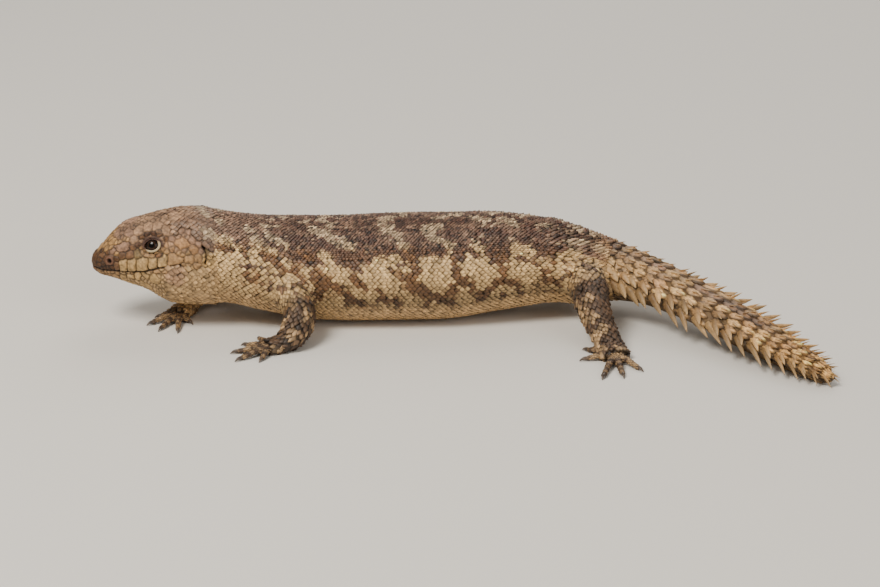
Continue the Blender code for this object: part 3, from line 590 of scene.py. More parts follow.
class Value:
    """A number that a shader node gives, for sums written as Python expressions."""

    def __init__(self, finish, socket):
        self.finish, self.socket = finish, socket

    def sum(self, operation, a, b):
        node = self.finish.node("ShaderNodeMath", {"operation": operation}, {0: a, 1: b})
        return Value(self.finish, node.outputs[0])

    def __add__(self, other):
        return self.sum("ADD", self, other)

    def __sub__(self, other):
        return self.sum("SUBTRACT", self, other)

    def __mul__(self, other):
        return self.sum("MULTIPLY", self, other)

    def __rsub__(self, other):
        return self.sum("SUBTRACT", other, self)

    __radd__ = __add__
    __rmul__ = __mul__


class Finish:
    """A material, with one method that adds any node."""

    def __init__(self, name, **sockets):
        self.material = bpy.data.materials.new(name)
        self.material.use_nodes = True
        self.tree = self.material.node_tree
        self.shader = self.tree.nodes["Principled BSDF"]
        self.feed(self.shader, {key.replace("_", " "): value for key, value in sockets.items()})

    def feed(self, node, inputs):
        for key, value in inputs.items():
            socket = node.inputs[key]
            if isinstance(value, Value):
                self.tree.links.new(value.socket, socket)
            elif isinstance(value, bpy.types.NodeSocket):
                self.tree.links.new(value, socket)
            else:
                socket.default_value = value

    def node(self, kind, settings, inputs):
        made = self.tree.nodes.new(kind)
        for key, value in settings.items():
            if key == "stops":
                for stop in value[len(made.color_ramp.elements):]:
                    made.color_ramp.elements.new(stop[0])
                for element, (place, colour) in zip(made.color_ramp.elements, value):
                    element.position = place
                    element.color = colour + (1.0,)
            else:
                setattr(made, key, value)
        self.feed(made, inputs)
        return made

    def noise(self, scale, detail=2.0):
        place = self.node("ShaderNodeTexCoord", {}, {}).outputs["Object"]
        made = self.node("ShaderNodeTexNoise", {}, {"Vector": place, "Scale": scale, "Detail": detail})
        return Value(self, made.outputs["Fac"])

    def bump(self, height, distance, strength):
        made = self.node("ShaderNodeBump", {},
                         {"Height": height, "Distance": distance, "Strength": strength})
        return made.outputs["Normal"]


def scaly(name, grain, gloss, depth):
    """Dry scale: the colour laid on the mesh, mottled as by wear and speckled, with fine wrinkles."""
    finish = Finish(name, Specular_IOR_Level=0.45)
    tint = finish.node("ShaderNodeVertexColor", {"layer_name": "tint"}, {}).outputs["Color"]
    speck = finish.noise(2600.0, 3.0)
    wear_and_glint = finish.noise(700.0, 2.0)
    shade = 1.0 + (speck - 0.5) * grain + (wear_and_glint - 0.5) * grain
    grey = finish.node("ShaderNodeCombineColor", {}, {0: shade, 1: shade, 2: shade}).outputs[0]
    multiply = {"data_type": "RGBA", "blend_type": "MULTIPLY", "clamp_factor": True}
    mixed = finish.node("ShaderNodeMix", multiply, {"Factor": 1.0, 6: tint, 7: grey})
    finish.feed(finish.shader, {
        "Base Color": mixed.outputs[2],
        "Roughness": gloss + (speck - 0.5) * 0.25,
        "Normal": finish.bump(speck * 0.6 + wear_and_glint * 0.4, 0.0002, depth),
    })
    return finish.material


skin.data.materials.append(scaly("hide_skin", 0.5, 0.62, 0.5))
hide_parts("neck", "chest", "belly", "loin", "pelvis", "tail_base", "tail_middle", "tail_tip",
            *[f"{leg}_{part}" for leg in LEGS for part in ("upper_leg", "lower_leg", "foot")])
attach(skin, "root")


# The head: skin over bone, covered with plates that meet edge to edge at fine dark grooves.
# Each plate is grown from its middle until it meets its neighbours, and then crowned. The mouth, nostrils
# and ear openings are sunk between them and painted dark as shade.
HEAD_REAR = 41.5
EYE_X, EYE_Z = -92.7, 29.2
EYE_RADIUS, EYE_DEPTH = 2.85, 1.85
EYE_LENGTH, EYE_HEIGHT = 2.4, 1.95
NOSTRIL = (-106.4, 23.3)
SOCKET_DEPTH, NOSTRIL_DEPTH, EAR_DEPTH, MOUTH_DEPTH = 1.6, 1.1, 1.8, 0.75
EAR = ((-76.5, 28.9), (-75.5, 27.7), (-75.3, 26.4), (-75.5, 24.8), (-75.9, 24.0))
MOUTH_CORNER = (-84.5, 20.0)
MOUTH_LINE = ((-118, 20.0), (-110.1, 19.8), (-108.4, 19.6), (-103.1, 19.9), (-100.1, 20.1), (-97.0, 20.5),
              (-93.4, 21.1), (-89.9, 22.2), (-86.7, 22.8), (-83.7, 23.4), (-82.2, 23.0), (-81.0, 22.2))

CREAM = (0.54, 0.39, 0.205)
TAN = (0.47, 0.315, 0.17)
TEMPLE = (0.45, 0.285, 0.155)
YELLOW = (0.48, 0.315, 0.15)
BROWN = (0.26, 0.15, 0.075)
DARK = (0.155, 0.08, 0.028)
MAUVE = (0.39, 0.26, 0.18)
CROWN_TAN = (0.44, 0.30, 0.195)
OLIVE = (0.33, 0.24, 0.12)

# Plates of one side by name of row: x, height, length, tallness, how square, how raised, colour.
SIDE_PLATES = (
    # upper lip
    (-104.4, 21.6, 2.0, 2.8, 0, 0.25, (0.235, 0.14, 0.075)), (-102.1, 22.2, 2.6, 4.2, 1, 0.4, CREAM),
    (-99.3, 22.6, 2.8, 4.3, 1, 0.42, CREAM), (-96.0, 23.0, 3.6, 4.2, 1, 0.42, CREAM),
    (-92.7, 23.6, 2.8, 3.4, 1, 0.36, CREAM), (-89.6, 24.5, 3.0, 3.7, 1, 0.32, CREAM),
    (-85.5, 25.0, 4.8, 3.6, 1, 0.3, TAN), (-81.2, 25.0, 3.0, 3.0, 0, 0.35, TAN),
    (-78.4, 25.2, 2.4, 2.6, 0, 0.35, TAN), (-78.8, 22.9, 2.4, 2.2, 0, 0.3, TAN),
    # nose and cheek
    (-106.6, 23.4, 3.4, 4.0, 0, 0.25, (0.215, 0.118, 0.06)), (-108.8, 24.6, 2.6, 2.2, 0, 0.2, BROWN),
    (-105.4, 26.4, 2.8, 1.9, 0, 0.22, MAUVE), (-102.7, 25.2, 2.8, 2.7, 0, 0.3, BROWN),
    (-100.0, 25.6, 2.6, 3.0, 0, 0.25, BROWN), (-97.2, 26.2, 2.6, 3.0, 0, 0.22, OLIVE),
    (-93.9, 26.1, 3.4, 1.5, 1, 0.2, TAN), (-90.8, 26.2, 2.4, 1.4, 1, 0.18, BROWN),
    # edge of the crown
    (-102.4, 28.0, 5.6, 3.0, 1, 0.2, MAUVE), (-98.5, 30.4, 3.4, 2.8, 0, 0.2, CROWN_TAN),
    (-99.2, 28.2, 2.2, 1.7, 0, 0.2, BROWN), (-97.1, 29.2, 2.2, 1.9, 0, 0.15, (0.17, 0.09, 0.045)),
    (-105.6, 28.9, 3.2, 2.6, 0, 0.15, YELLOW), (-108.2, 26.9, 2.6, 2.4, 0, 0.15, YELLOW),
    # over the eye: dark brown, partly their own colour and partly painted shadow of the brow
    (-96.0, 31.2, 1.9, 1.3, 1, 0.2, BROWN), (-94.1, 32.1, 1.9, 1.2, 1, 0.22, (0.19, 0.105, 0.06)),
    (-92.2, 32.3, 1.9, 1.2, 1, 0.22, (0.19, 0.105, 0.06)), (-90.3, 32.1, 1.9, 1.2, 1, 0.22, BROWN),
    (-88.6, 31.3, 1.8, 1.6, 0, 0.25, BROWN),
    # behind the eye and temple
    (-88.3, 29.4, 1.7, 1.7, 0, 0.25, TEMPLE), (-88.2, 27.6, 1.7, 1.6, 0, 0.25, TAN),
    (-86.4, 31.2, 1.9, 1.9, 0, 0.28, MAUVE), (-86.3, 28.4, 1.9, 2.0, 0, 0.28, TEMPLE),
    (-83.2, 30.0, 4.2, 4.0, 0, 0.42, TEMPLE), (-79.9, 28.0, 2.6, 2.6, 0, 0.35, TEMPLE),
    (-80.2, 30.9, 2.4, 2.4, 0, 0.3, MAUVE), (-83.6, 33.2, 2.3, 2.2, 0, 0.3, MAUVE),
    (-81.2, 33.0, 2.1, 2.0, 0, 0.28, MAUVE), (-77.9, 29.8, 2.0, 2.0, 0, 0.3, MAUVE),
    # lower lip and chin
    (-102.5, 17.9, 2.5, 2.3, 1, 0.28, CREAM), (-100.0, 18.2, 2.6, 2.3, 1, 0.28, CREAM),
    (-97.5, 18.7, 2.5, 2.3, 1, 0.28, CREAM), (-95.0, 19.2, 2.5, 2.3, 1, 0.28, CREAM),
    (-92.0, 18.2, 4.4, 3.0, 0, 0.3, CREAM), (-91.6, 21.0, 2.8, 1.3, 1, 0.15, TAN),
    (-88.9, 21.2, 2.4, 1.5, 1, 0.15, TAN), (-105.2, 17.6, 2.8, 2.6, 1, 0.2, (0.42, 0.29, 0.16)),
    (-100.6, 15.4, 6.4, 2.6, 0, 0.2, CREAM), (-95.2, 15.2, 5.0, 3.0, 0, 0.2, CREAM),
)
# Plates of the crown: x, degrees from the middle of the crown, length, width.
CROWN_PLATES = (
    (-107.4, 0, 3.2, 4.6), (-107.6, 44, 2.8, 3.0), (-104.2, 20, 3.0, 4.6), (-99.4, 0, 6.0, 4.4),
    (-100.4, 36, 3.0, 4.2), (-97.0, 35, 2.8, 4.2), (-94.0, 33, 2.8, 4.6), (-91.0, 33, 2.8, 4.4),
    (-93.6, 11, 3.2, 3.6), (-89.8, 0, 3.6, 2.8), (-88.8, 18, 3.2, 4.0), (-88.2, 40, 2.8, 3.8),
)
# How wide a cobble of the cheek and throat is.
COBBLE = 1.75
HEAD_ROWS, HEAD_COLUMNS = 212, 412
# How many points of the head are worked out at once.
BLOCK = 3000


def mouth_at(x):
    """The height of the mouth's line at x."""
    return np.interp(x, *np.transpose(MOUTH_LINE))


random = np.random.default_rng(7)
fine_s = np.linspace(0, HEAD_REAR, 2000)
profile = spine.at(fine_s)
climb = np.cumsum(np.hypot(np.gradient(fine_s), np.gradient(profile[:, 3:6].mean(-1))))
head_s = np.interp(np.linspace(0, climb[-1], HEAD_ROWS), climb, fine_s)
head_share = np.linspace(-1, 1, HEAD_COLUMNS, endpoint=False)
hs, hshare = np.meshgrid(head_s, head_share, indexing="ij")
head_angle = turn_at(hs, hshare)
tucked_in = ease(38.6, HEAD_REAR, hs) * 1.1
base = on_body(hs, head_angle)
rear = np.gradient(base, axis=0)
round_it = np.roll(base, -1, axis=1) - np.roll(base, 1, axis=1)
out = unit(np.cross(round_it, rear))
X, Z = base[..., 0], base[..., 2]
mouth = mouth_at(X)

plates, cobbles = [], []


def in_temple(x, z):
    """Whether a spot lies among the large plates between the eye and the ear."""
    return -87.6 < x < -78.6 and mouth_at(x) < z < 32.5


def add_plate(s, angle, length, width, square, raised, colour):
    """Notes one plate of the head, from which the skin is then grown."""
    spot, axes = frames_on_body(s, angle)
    shade = 1 + 0.07 * random.standard_normal()
    plates.append((spot, axes, length / 2, width / 2, square, raised, np.array(colour) * shade))


for x, height, length, tall, square, raised, colour in SIDE_PLATES:
    for side in (1, -1):
        s = length_at(x)
        add_plate(s, side * angle_at(s, height), length, tall, square, raised, colour)
for x, degrees, length, width in CROWN_PLATES:
    for side in (1, -1)[:2 if degrees else 1]:
        tone = YELLOW if x < -105 else MAUVE if x < -98 else CROWN_TAN
        add_plate(length_at(x), side * np.radians(degrees), length, width, 0, 0.14, tone)
add_plate(0.35, 0.0, 2.6, 5.6, 0, 0.15, DARK)
add_plate(0.6, np.pi, 2.4, 5.0, 0, 0.15, BROWN)
add_plate(2.9, 0.0, 2.6, 4.2, 0, 0.12, YELLOW)
named = len(plates)
for i, s in enumerate(np.arange(3.0, HEAD_REAR + 1, COBBLE * 0.52)):
    girth = np.interp(s, TABLE_S, TABLE_GIRTH)
    count = int(girth / COBBLE / 2)
    for k in range(-count, count + 1):
        share = (k + 0.5 * (i % 2)) / count
        if abs(share) > 1:
            continue
        angle = turn_at(np.array(s), np.array(share))
        s_here, angle = s + 0.25 * random.standard_normal(), angle + 0.012 * random.standard_normal()
        spot, axes = frames_on_body(s_here, angle)
        taken = False
        for other in plates[:named]:
            if np.sum((spot - other[0]) ** 2) > 36:
                continue
            u, v, w = other[1] @ (spot - other[0])
            if (u / (other[2] + 0.3)) ** 2 + (v / (other[3] + 0.3)) ** 2 + (w / 3) ** 2 < 1:
                taken = True
        if taken:
            continue
        x, y, z = spot
        if x < -103.2:
            colour = YELLOW if z > 25.8 else DARK if z > 19.7 else np.array(TAN) * 0.85
        elif z > spine.at(np.array(s))[2] + 7 or x > -78 and z > 29:
            colour = blend(CROWN_TAN, GREY_BACK, ease(-86, -74, x))
            colour = blend(colour, DARK_BACK, 0.45 * ease(-0.1, 0.5, noise(spot, 4.0, 41)))
            fleck = streaks(PALE_PATCHES, np.array([s]), np.array([abs(np.degrees(float(angle)))]))[0]
            colour = blend(colour, PALE_BACK, ease(-0.5, 0.4, fleck + 0.5 * noise(spot, 1.5, 42)))
        elif z > mouth_at(x):
            colour = blend(TAN, CREAM, ease(-84, -74, x))
        else:
            from_corner = np.hypot(x - MOUTH_CORNER[0], z - MOUTH_CORNER[1])
            colour = blend(np.array(CREAM_BELLY) * 0.95, MAUVE, 0.75 * ease(4.5, 2.0, from_corner))
        ear_near = min(np.hypot(x - ex, (z - ez) * 0.7) for ex, ez in EAR)
        on_crown = x > -89.5 and z > 33.0
        if (x > -87.5 or on_crown) and ear_near > 1.3 and not in_temple(x, z):
            cobbles.append((s, float(angle), share, *(colour * (1 + 0.15 * random.standard_normal()))))
            add_plate(s, angle, COBBLE * 1.1, COBBLE, 0, -0.1, np.array(colour) * 0.9)
        else:
            add_plate(s, angle, COBBLE * 1.1, COBBLE, 0, 0.22, colour)


spots = np.array([p[0] for p in plates])
axes = np.array([p[1] for p in plates])
halves = np.array([(p[2], p[3], 1.6 * max(p[2], p[3])) for p in plates])
squares = np.array([p[4] for p in plates], bool)
raised = np.array([p[5] for p in plates])
colours = np.array([p[6] for p in plates])
above_mouth = spots[:, 2] > mouth_at(spots[:, 0])
lips_apart = spots[:, 0] < -83.0

flat_points = base.reshape(-1, 3)
first = np.zeros(len(flat_points), int)
gap = np.zeros(len(flat_points))
soft = np.zeros((len(flat_points), 3))
for start in range(0, len(flat_points), BLOCK):
    block = flat_points[start:start + BLOCK]
    middle = block.mean(0)
    close = np.linalg.norm(spots - middle, axis=1) < 9 + np.linalg.norm(block - middle, axis=1).max()
    pick = np.flatnonzero(close)
    offset = block[:, None, :] - spots[None, pick]
    local = np.einsum("pkj,kij->pki", offset, axes[pick]) / halves[pick][None]
    local = local ** 2
    far = np.where(squares[pick][None], np.sqrt((local ** 2).sum(-1)), local.sum(-1))
    far = np.sqrt(far)
    upper = block[:, 2] > mouth_at(block[:, 0])
    across_lips = upper[:, None] != above_mouth[pick][None]
    split = (block[:, 0] < -81.5)[:, None] & lips_apart[pick][None] & across_lips
    far = np.where(split, far + 50, far)
    order = np.argpartition(far, 2, axis=1)[:, :2]
    pair = np.take_along_axis(far, order, axis=1)
    swap = pair[:, 0] > pair[:, 1]
    order[swap] = order[swap][:, ::-1]
    pair = np.sort(pair, axis=1)
    a, b = pick[order[:, 0]], pick[order[:, 1]]
    size_a, size_b = halves[a, :2].mean(-1), halves[b, :2].mean(-1)
    first[start:start + BLOCK] = a
    gap[start:start + BLOCK] = np.minimum((pair[:, 1] - pair[:, 0]) / (1 / size_a + 1 / size_b), 3)
    weight = np.exp(-3.0 * (far - pair[:, :1]))
    soft[start:start + BLOCK] = weight @ colours[pick] / weight.sum(1, keepdims=True)
first, gap = first.reshape(hs.shape), gap.reshape(hs.shape)

rim = np.exp(-(gap / 0.2) ** 2)
dome = raised[first] * (1 - np.exp(-gap / 0.6)) * np.where(squares[first], 2.0, 1.1)
height = dome - np.where(squares[first], 0.30, 0.16) * rim
rough = ease(-104, -88, X) * ease(4, 9, Z - spine.at(hs)[..., 2])
height += (0.07 + 0.07 * rough) * noise(base, 0.45, 51) + 0.08 * noise(base, 1.1, 52)


def side_offset(x, z):
    """How far each point lies from a spot of either side: to the rear, and upwards on the skin."""
    s = length_at(x)
    found = []
    for side in (1, -1):
        spot, axis = frames_on_body(s, side * angle_at(s, z))
        apart = base - spot
        found.append(np.stack([apart @ axis[0], apart @ (axis[1] * side), apart @ axis[2]], -1))
    left = np.linalg.norm(found[0], axis=-1) < np.linalg.norm(found[1], axis=-1)
    return np.where(left[..., None], found[0], found[1])


def bump_at(x, z, length, tall, lift):
    """A low swelling on both sides of the head."""
    u, v, w = np.moveaxis(side_offset(x, z), -1, 0)
    return lift * np.exp(-(u / length) ** 2 - (v / tall) ** 2 - (w / 6) ** 2)


# The brow, the jaw muscle and the upper lip swell. Two hollows lie before and under the eye.
height += bump_at(-92.6, 33.0, 4.6, 1.3, 0.8)
height += bump_at(-84.0, 19.0, 7.0, 4.0, 0.7)
height += bump_at(-98.0, 22.0, 7.0, 2.0, 0.25)
height -= bump_at(-98.0, 27.4, 5.0, 1.6, 0.5)
height -= bump_at(-92.8, 26.6, 3.6, 1.0, 0.3)

eye_u, eye_v, eye_w = np.moveaxis(side_offset(EYE_X, EYE_Z), -1, 0)
eye_far = np.sqrt((eye_u / EYE_LENGTH) ** 2 + (eye_v / EYE_HEIGHT) ** 2)
at_eye = np.abs(eye_w) < 5
height = np.where(at_eye, height * ease(1.0, 1.5, eye_far), height)
socket_rim = 0.25 * np.exp(-((eye_far - 1.75) / 0.3) ** 2)
height -= np.where(at_eye, SOCKET_DEPTH * ease(1.22, 0.75, eye_far) + socket_rim, 0)

u, v, w = np.moveaxis(side_offset(*NOSTRIL), -1, 0)
hole = np.hypot(u, v * 0.9)
at_nostril = np.abs(w) < 3
raised_rim = 0.22 * np.exp(-((hole - 1.0) / 0.3) ** 2)
height -= np.where(at_nostril, NOSTRIL_DEPTH * ease(0.75, 0.35, hole) - raised_rim, 0)
nostril_shadow = np.where(at_nostril, ease(0.8, 0.45, hole), 0)
nostril_rim = np.where(at_nostril, 0.6 * np.exp(-((hole - 1.05) / 0.25) ** 2), 0)

ear_rows = np.array(EAR)
ear_gap = np.full(hs.shape, 9.0)
for (x0, z0), (x1, z1) in zip(ear_rows, ear_rows[1:]):
    for share in np.linspace(0, 1, 6):
        u, v, w = np.moveaxis(side_offset(x0 + (x1 - x0) * share, z0 + (z1 - z0) * share), -1, 0)
        ear_gap = np.minimum(ear_gap, np.sqrt(u * u + v * v + np.maximum(np.abs(w) - 2, 0) ** 2))
height -= EAR_DEPTH * ease(0.75, 0.3, ear_gap)
height += 0.35 * np.exp(-((ear_gap - 1.15) / 0.35) ** 2)

in_mouth = ease(-81.6, -83.0, X) * (np.abs(np.cos(head_angle)) < 0.98)
mouth_gap = np.abs(Z - mouth)
height -= in_mouth * (MOUTH_DEPTH * np.exp(-(mouth_gap / 0.28) ** 2))
height -= tucked_in

head_points = base + out * height[..., None]
lips = squares[first]
tint = blend(soft.reshape(base.shape), colours[first], np.where(lips, 0.9, 0.5))
speckle = noise(base, 0.5, 61)
tint = tint * (1 + 0.14 * noise(base, 1.5, 62) + 0.18 * noise(base, 0.7, 63) + 0.26 * speckle)[..., None]
edge = ease(0.34, 0.06, gap + 0.06 * speckle)
tint = tint * (1 - np.where(lips, 0.62, 0.46) * edge)[..., None]
# Painted shade: the mouth's line, the nostrils and the ear openings are painted near black as the shade
# inside them; the nostril's rim is its own pinkish colour.
tint = blend(tint, (0.045, 0.022, 0.014), in_mouth * ease(0.45, 0.2, mouth_gap) * 0.9)
tint = blend(tint, (0.34, 0.2, 0.15), nostril_rim)
tint = blend(tint, (0.03, 0.01, 0.008), nostril_shadow)
tint = blend(tint, (0.03, 0.015, 0.01), ease(0.75, 0.45, ear_gap))
# Painted shadow of the brow: the socket round the eye is darkened, most above it.
socket = np.where(at_eye, ease(1.75, 1.35, eye_far), 0)
tint = blend(tint, (0.12, 0.06, 0.035), socket * ease(1.2, -0.4, eye_v / EYE_HEIGHT * -1))

points, faces = skinned(head_points)
end_tints = np.stack([tint[0].mean(0), tint[-1].mean(0)])
head = new_piece("head_skin", points, outward(points, faces),
                 np.clip(np.concatenate([tint.reshape(-1, 3), end_tints]), 0.004, 1))
head.data.materials.append(scaly("head_plates", 0.6, 0.62, 0.9))
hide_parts("head", "lower_jaw", "left_ear", "right_ear")
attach(head, "root")


# The eyes: wet dark balls with a brown iris round a black pupil. Each is a sphere whose
# colours are laid on from the pupil outwards, set deep between the lids.
def eye_axes(side):
    """The middle of one eye, with the directions to the rear, round the head and outwards."""
    s = length_at(EYE_X)
    return frames_on_body(s, side * angle_at(s, EYE_Z))


eye_finish = Finish("eye_wet", Roughness=0.08, Specular_IOR_Level=0.22)
eye_tint = eye_finish.node("ShaderNodeVertexColor", {"layer_name": "tint"}, {}).outputs["Color"]
eye_finish.feed(eye_finish.shader, {"Base Color": eye_tint})
for name, side in (("left_eye", 1), ("right_eye", -1)):
    spot, axis = eye_axes(side)
    bpy.ops.mesh.primitive_uv_sphere_add(segments=48, ring_count=32, radius=EYE_RADIUS)
    ball = bpy.context.object
    co = np.empty(len(ball.data.vertices) * 3, np.float32)
    ball.data.vertices.foreach_get("co", co)
    co = co.reshape(-1, 3).astype(float)
    pupil = np.hypot(co[:, 0], co[:, 1])
    front = co[:, 2] > 0
    iris = blend((0.008, 0.006, 0.005), (0.085, 0.045, 0.022), ease(0.85, 1.05, pupil))
    iris = blend(iris, (0.03, 0.018, 0.012), ease(1.15, 1.6, pupil))
    placed = spot - axis[2] * EYE_DEPTH + co @ axis
    ball.data.vertices.foreach_set("co", in_metres(placed))
    if np.linalg.det(axis) < 0:
        ball.data.flip_normals()
    ball.data.shade_smooth()
    ball.name = name + "_ball"
    set_tints(ball, np.where(front[:, None], iris, (0.02, 0.012, 0.008)))
    ball.data.materials.append(eye_finish.material)
    ball.select_set(False)
    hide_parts(name)
    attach(ball, "root")


# The lids: a smooth roll of skin round each eye, thin above and thick and cream below; the upper lid, and
# the outer side of the roll most above, are painted dark as shade under the brow.
# Each is a closed ring of round sections that lies on the ball and a little over the socket.
LID_SEGMENTS, LID_SECTION, LID_TILT = 72, 12, 0.2
for name, side in (("left_lids", 1), ("right_lids", -1)):
    spot, axis = eye_axes(side)
    turn = np.linspace(0, 2 * np.pi, LID_SEGMENTS, endpoint=False)
    low = ease(0.25, -0.4, np.sin(turn - 0.6))
    rings = []
    for k in range(LID_SECTION):
        roll = 2 * np.pi * k / LID_SECTION
        thick = 0.12 + 0.2 * low
        across = EYE_LENGTH + 0.45 * np.clip(-np.cos(turn), 0, 1) ** 6
        reach = 1.02 + (np.cos(roll) * thick) / 1.8
        u = np.cos(turn) * across * reach
        v = np.sin(turn) * EYE_HEIGHT * reach
        u, v = u * np.cos(LID_TILT) - v * np.sin(LID_TILT), u * np.sin(LID_TILT) + v * np.cos(LID_TILT)
        ball_lift = np.sqrt(np.maximum(EYE_RADIUS**2 - u * u - v * v, 0.0)) - EYE_DEPTH
        lift = np.maximum(ball_lift, 0.0) * 0.55 + 0.12 + np.sin(roll) * (0.24 + 0.08 * low)
        rings.append(spot + u[:, None] * axis[0] + side * v[:, None] * axis[1] + lift[:, None] * axis[2])
    rings = np.stack(rings, 1)
    ring_at = np.arange(LID_SEGMENTS * LID_SECTION).reshape(LID_SEGMENTS, LID_SECTION)
    a, b = ring_at, np.roll(ring_at, -1, axis=0)
    c, d = np.roll(b, -1, axis=1), np.roll(a, -1, axis=1)
    faces = np.concatenate([np.stack([a, b, c], -1).reshape(-1, 3), np.stack([a, c, d], -1).reshape(-1, 3)])
    points = rings.reshape(-1, 3)
    # Painted shade: the upper lid is dark as it lies under the brow, and the outer side of the roll, where
    # it turns into the socket, is darkened, most above.
    tone = blend((0.19, 0.11, 0.08), (0.60, 0.50, 0.34), low)
    tone = np.repeat(tone[:, None], LID_SECTION, 1)
    lid_outer_shade = ease(0.3, 1.0, np.cos(2 * np.pi * np.arange(LID_SECTION) / LID_SECTION))
    tone = blend(tone, (0.12, 0.07, 0.05), lid_outer_shade[None, :] * (0.75 - 0.45 * low[:, None]))
    centre = points.mean(0)
    local = points - centre
    lids = new_piece(name, points, outward(local, faces), tone.reshape(-1, 3))
    lids.data.materials.append(scaly(name + "_skin", 0.25, 0.45, 0.3))
    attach(lids, "root")


# The scales of the neck and trunk: dry horny plates in slanting rows, each with a low keel, its
# front edge tucked into the skin and its rear edge standing free over the next. One is shaped
# and then copied along the rows.
SCALE_THICKNESS, SCALE_RIM, SCALE_ROOT = 0.2, 0.13, 0.3
# How unevenly scales lie, how clear of the ground they stay, and the size of each on the bake map.
SCALE_TILT, GROUND_GAP, BAKE_PATCH = 0.09, 0.03, 0.003
# How much shorter the scales of the back are.
BACK_SHORT = 0.85


def scale_shape(sides, tip, keel, diamond=0.17):
    """One scale of unit length and width, rear towards +X and out towards +Z.

    Also tells which of its points are on the rim and which are under it.
    """
    bpy.ops.mesh.primitive_circle_add(vertices=sides, radius=0.5, fill_type="NGON")
    made = bpy.context.object
    bpy.ops.object.mode_set(mode="EDIT")
    bpy.ops.mesh.select_all(action="SELECT")
    bpy.ops.mesh.extrude_region_move(TRANSFORM_OT_translate={"value": (0, 0, SCALE_THICKNESS)})
    bpy.ops.mesh.inset(thickness=SCALE_RIM, depth=0.05)
    bpy.ops.mesh.poke()
    bpy.ops.mesh.select_all(action="SELECT")
    bpy.ops.mesh.quads_convert_to_tris()
    bpy.ops.mesh.normals_make_consistent(inside=False)
    bpy.ops.object.mode_set(mode="OBJECT")
    co = np.array([v.co[:] for v in made.data.vertices])
    faces = np.array([p.vertices[:] for p in made.data.polygons])
    bpy.data.objects.remove(made)
    radius = np.hypot(co[:, 0], co[:, 1])
    inner = co[:, 2] > SCALE_THICKNESS + 0.02
    centre = radius < 0.05
    top = co[:, 2] > SCALE_THICKNESS / 2
    turn = np.arctan2(co[:, 1], co[:, 0])
    co[:, :2] *= (1 - diamond * np.sin(2 * turn) ** 2)[:, None]
    co[:, 0] += np.where(co[:, 0] > 0, tip * (co[:, 0] * 2) ** 2, 0)
    ridge = np.exp(-(co[:, 1] / 0.16) ** 2) * keel
    rear = co[:, 0] + 0.5
    crown = np.where(inner, 0.10 + ridge * (0.4 + rear * 0.6), 0)
    co[:, 2] = np.where(top, 0.05 + 0.20 * rear + crown, -SCALE_ROOT)
    co[centre & inner, 0] += 0.1
    return co, faces, top & ~inner, ~top


def settle(points, axes, tree, reach):
    """Moves roots on to the skin and turns them with it; tells which found it within reach."""
    kept = np.zeros(len(points), bool)
    for i, p in enumerate(points):
        spot, normal = tree.find_nearest(Vector((p + PLACE) * MM), reach * MM)[:2]
        if spot is None:
            continue
        out = unit(np.array(normal) + axes[i, 2] * 1.5)
        rear = unit(axes[i, 0] - out * (axes[i, 0] @ out))
        points[i] = np.array(spot) / MM - PLACE
        axes[i] = np.stack([rear, np.cross(out, rear), out])
        kept[i] = True
    return kept


def copies(shape, points, axes, sizes, colours, uv, dark_rim=0.27):
    """Joined copies of one scale: their points, faces, colours and places on the bake map."""
    co, faces, rim, under = shape
    local = co[None] * sizes[:, None, :]
    tilt = SCALE_TILT * random.standard_normal((2, len(points), 1))
    local[..., 2] += np.where(under, 0, tilt[0] * local[..., 0] + tilt[1] * local[..., 1])
    placed = points[:, None, :] + np.einsum("nvk,nkj->nvj", local, axes)
    placed[..., 2] = np.maximum(placed[..., 2], GROUND_GAP)
    many = (faces[None] + (np.arange(len(points)) * len(co))[:, None, None]).reshape(-1, 3)
    # Painted highlight and shade: each scale is painted lighter towards its raised rear edge and along its
    # keel, as glints, and its underside far darker, as shade.
    wear_and_glint = 0.7 + 0.6 * np.clip(co[:, 0] + 0.35, 0, 1) + 0.2 * np.exp(-(co[:, 1] / 0.12) ** 2)
    shade = np.where(rim, dark_rim, wear_and_glint) * np.where(under, 0.3, 1.0)
    tints = colours[:, None, :] * shade[None, :, None]
    patch = uv[:, None, :] + co[None, :, :2] * BAKE_PATCH
    tints = np.clip(tints.reshape(-1, 3), 0.003, 1)
    return placed.reshape(-1, 3), many, tints, np.clip(patch.reshape(-1, 2), 0, 1)


def surface_of(obj):
    """A tree that finds the nearest spot of an object's surface."""
    return BVHTree.FromPolygons([v.co.copy() for v in obj.data.vertices],
                                [p.vertices[:] for p in obj.data.polygons])


skin_tree = surface_of(skin)
back_scale = scale_shape(8, 0.24, 0.32)
flank_scale = scale_shape(8, 0.12, 0.10, 0.2)
scale_finish = scaly("trunk_scales", 0.4, 0.5, 0.5)
scale_roots = []


def lattice(start, end, pitch, columns):
    """Roots in slanting rows: lengths along the spine and shares of the half girth."""
    lengths, shares = [], []
    for i, s in enumerate(np.arange(start, end, pitch / 2)):
        k = np.arange(-columns // 2, columns // 2)
        lengths.append(np.full(len(k), s))
        shares.append((k + 0.5 * (i % 2)) / (columns // 2))
    return np.concatenate(lengths), np.concatenate(shares)


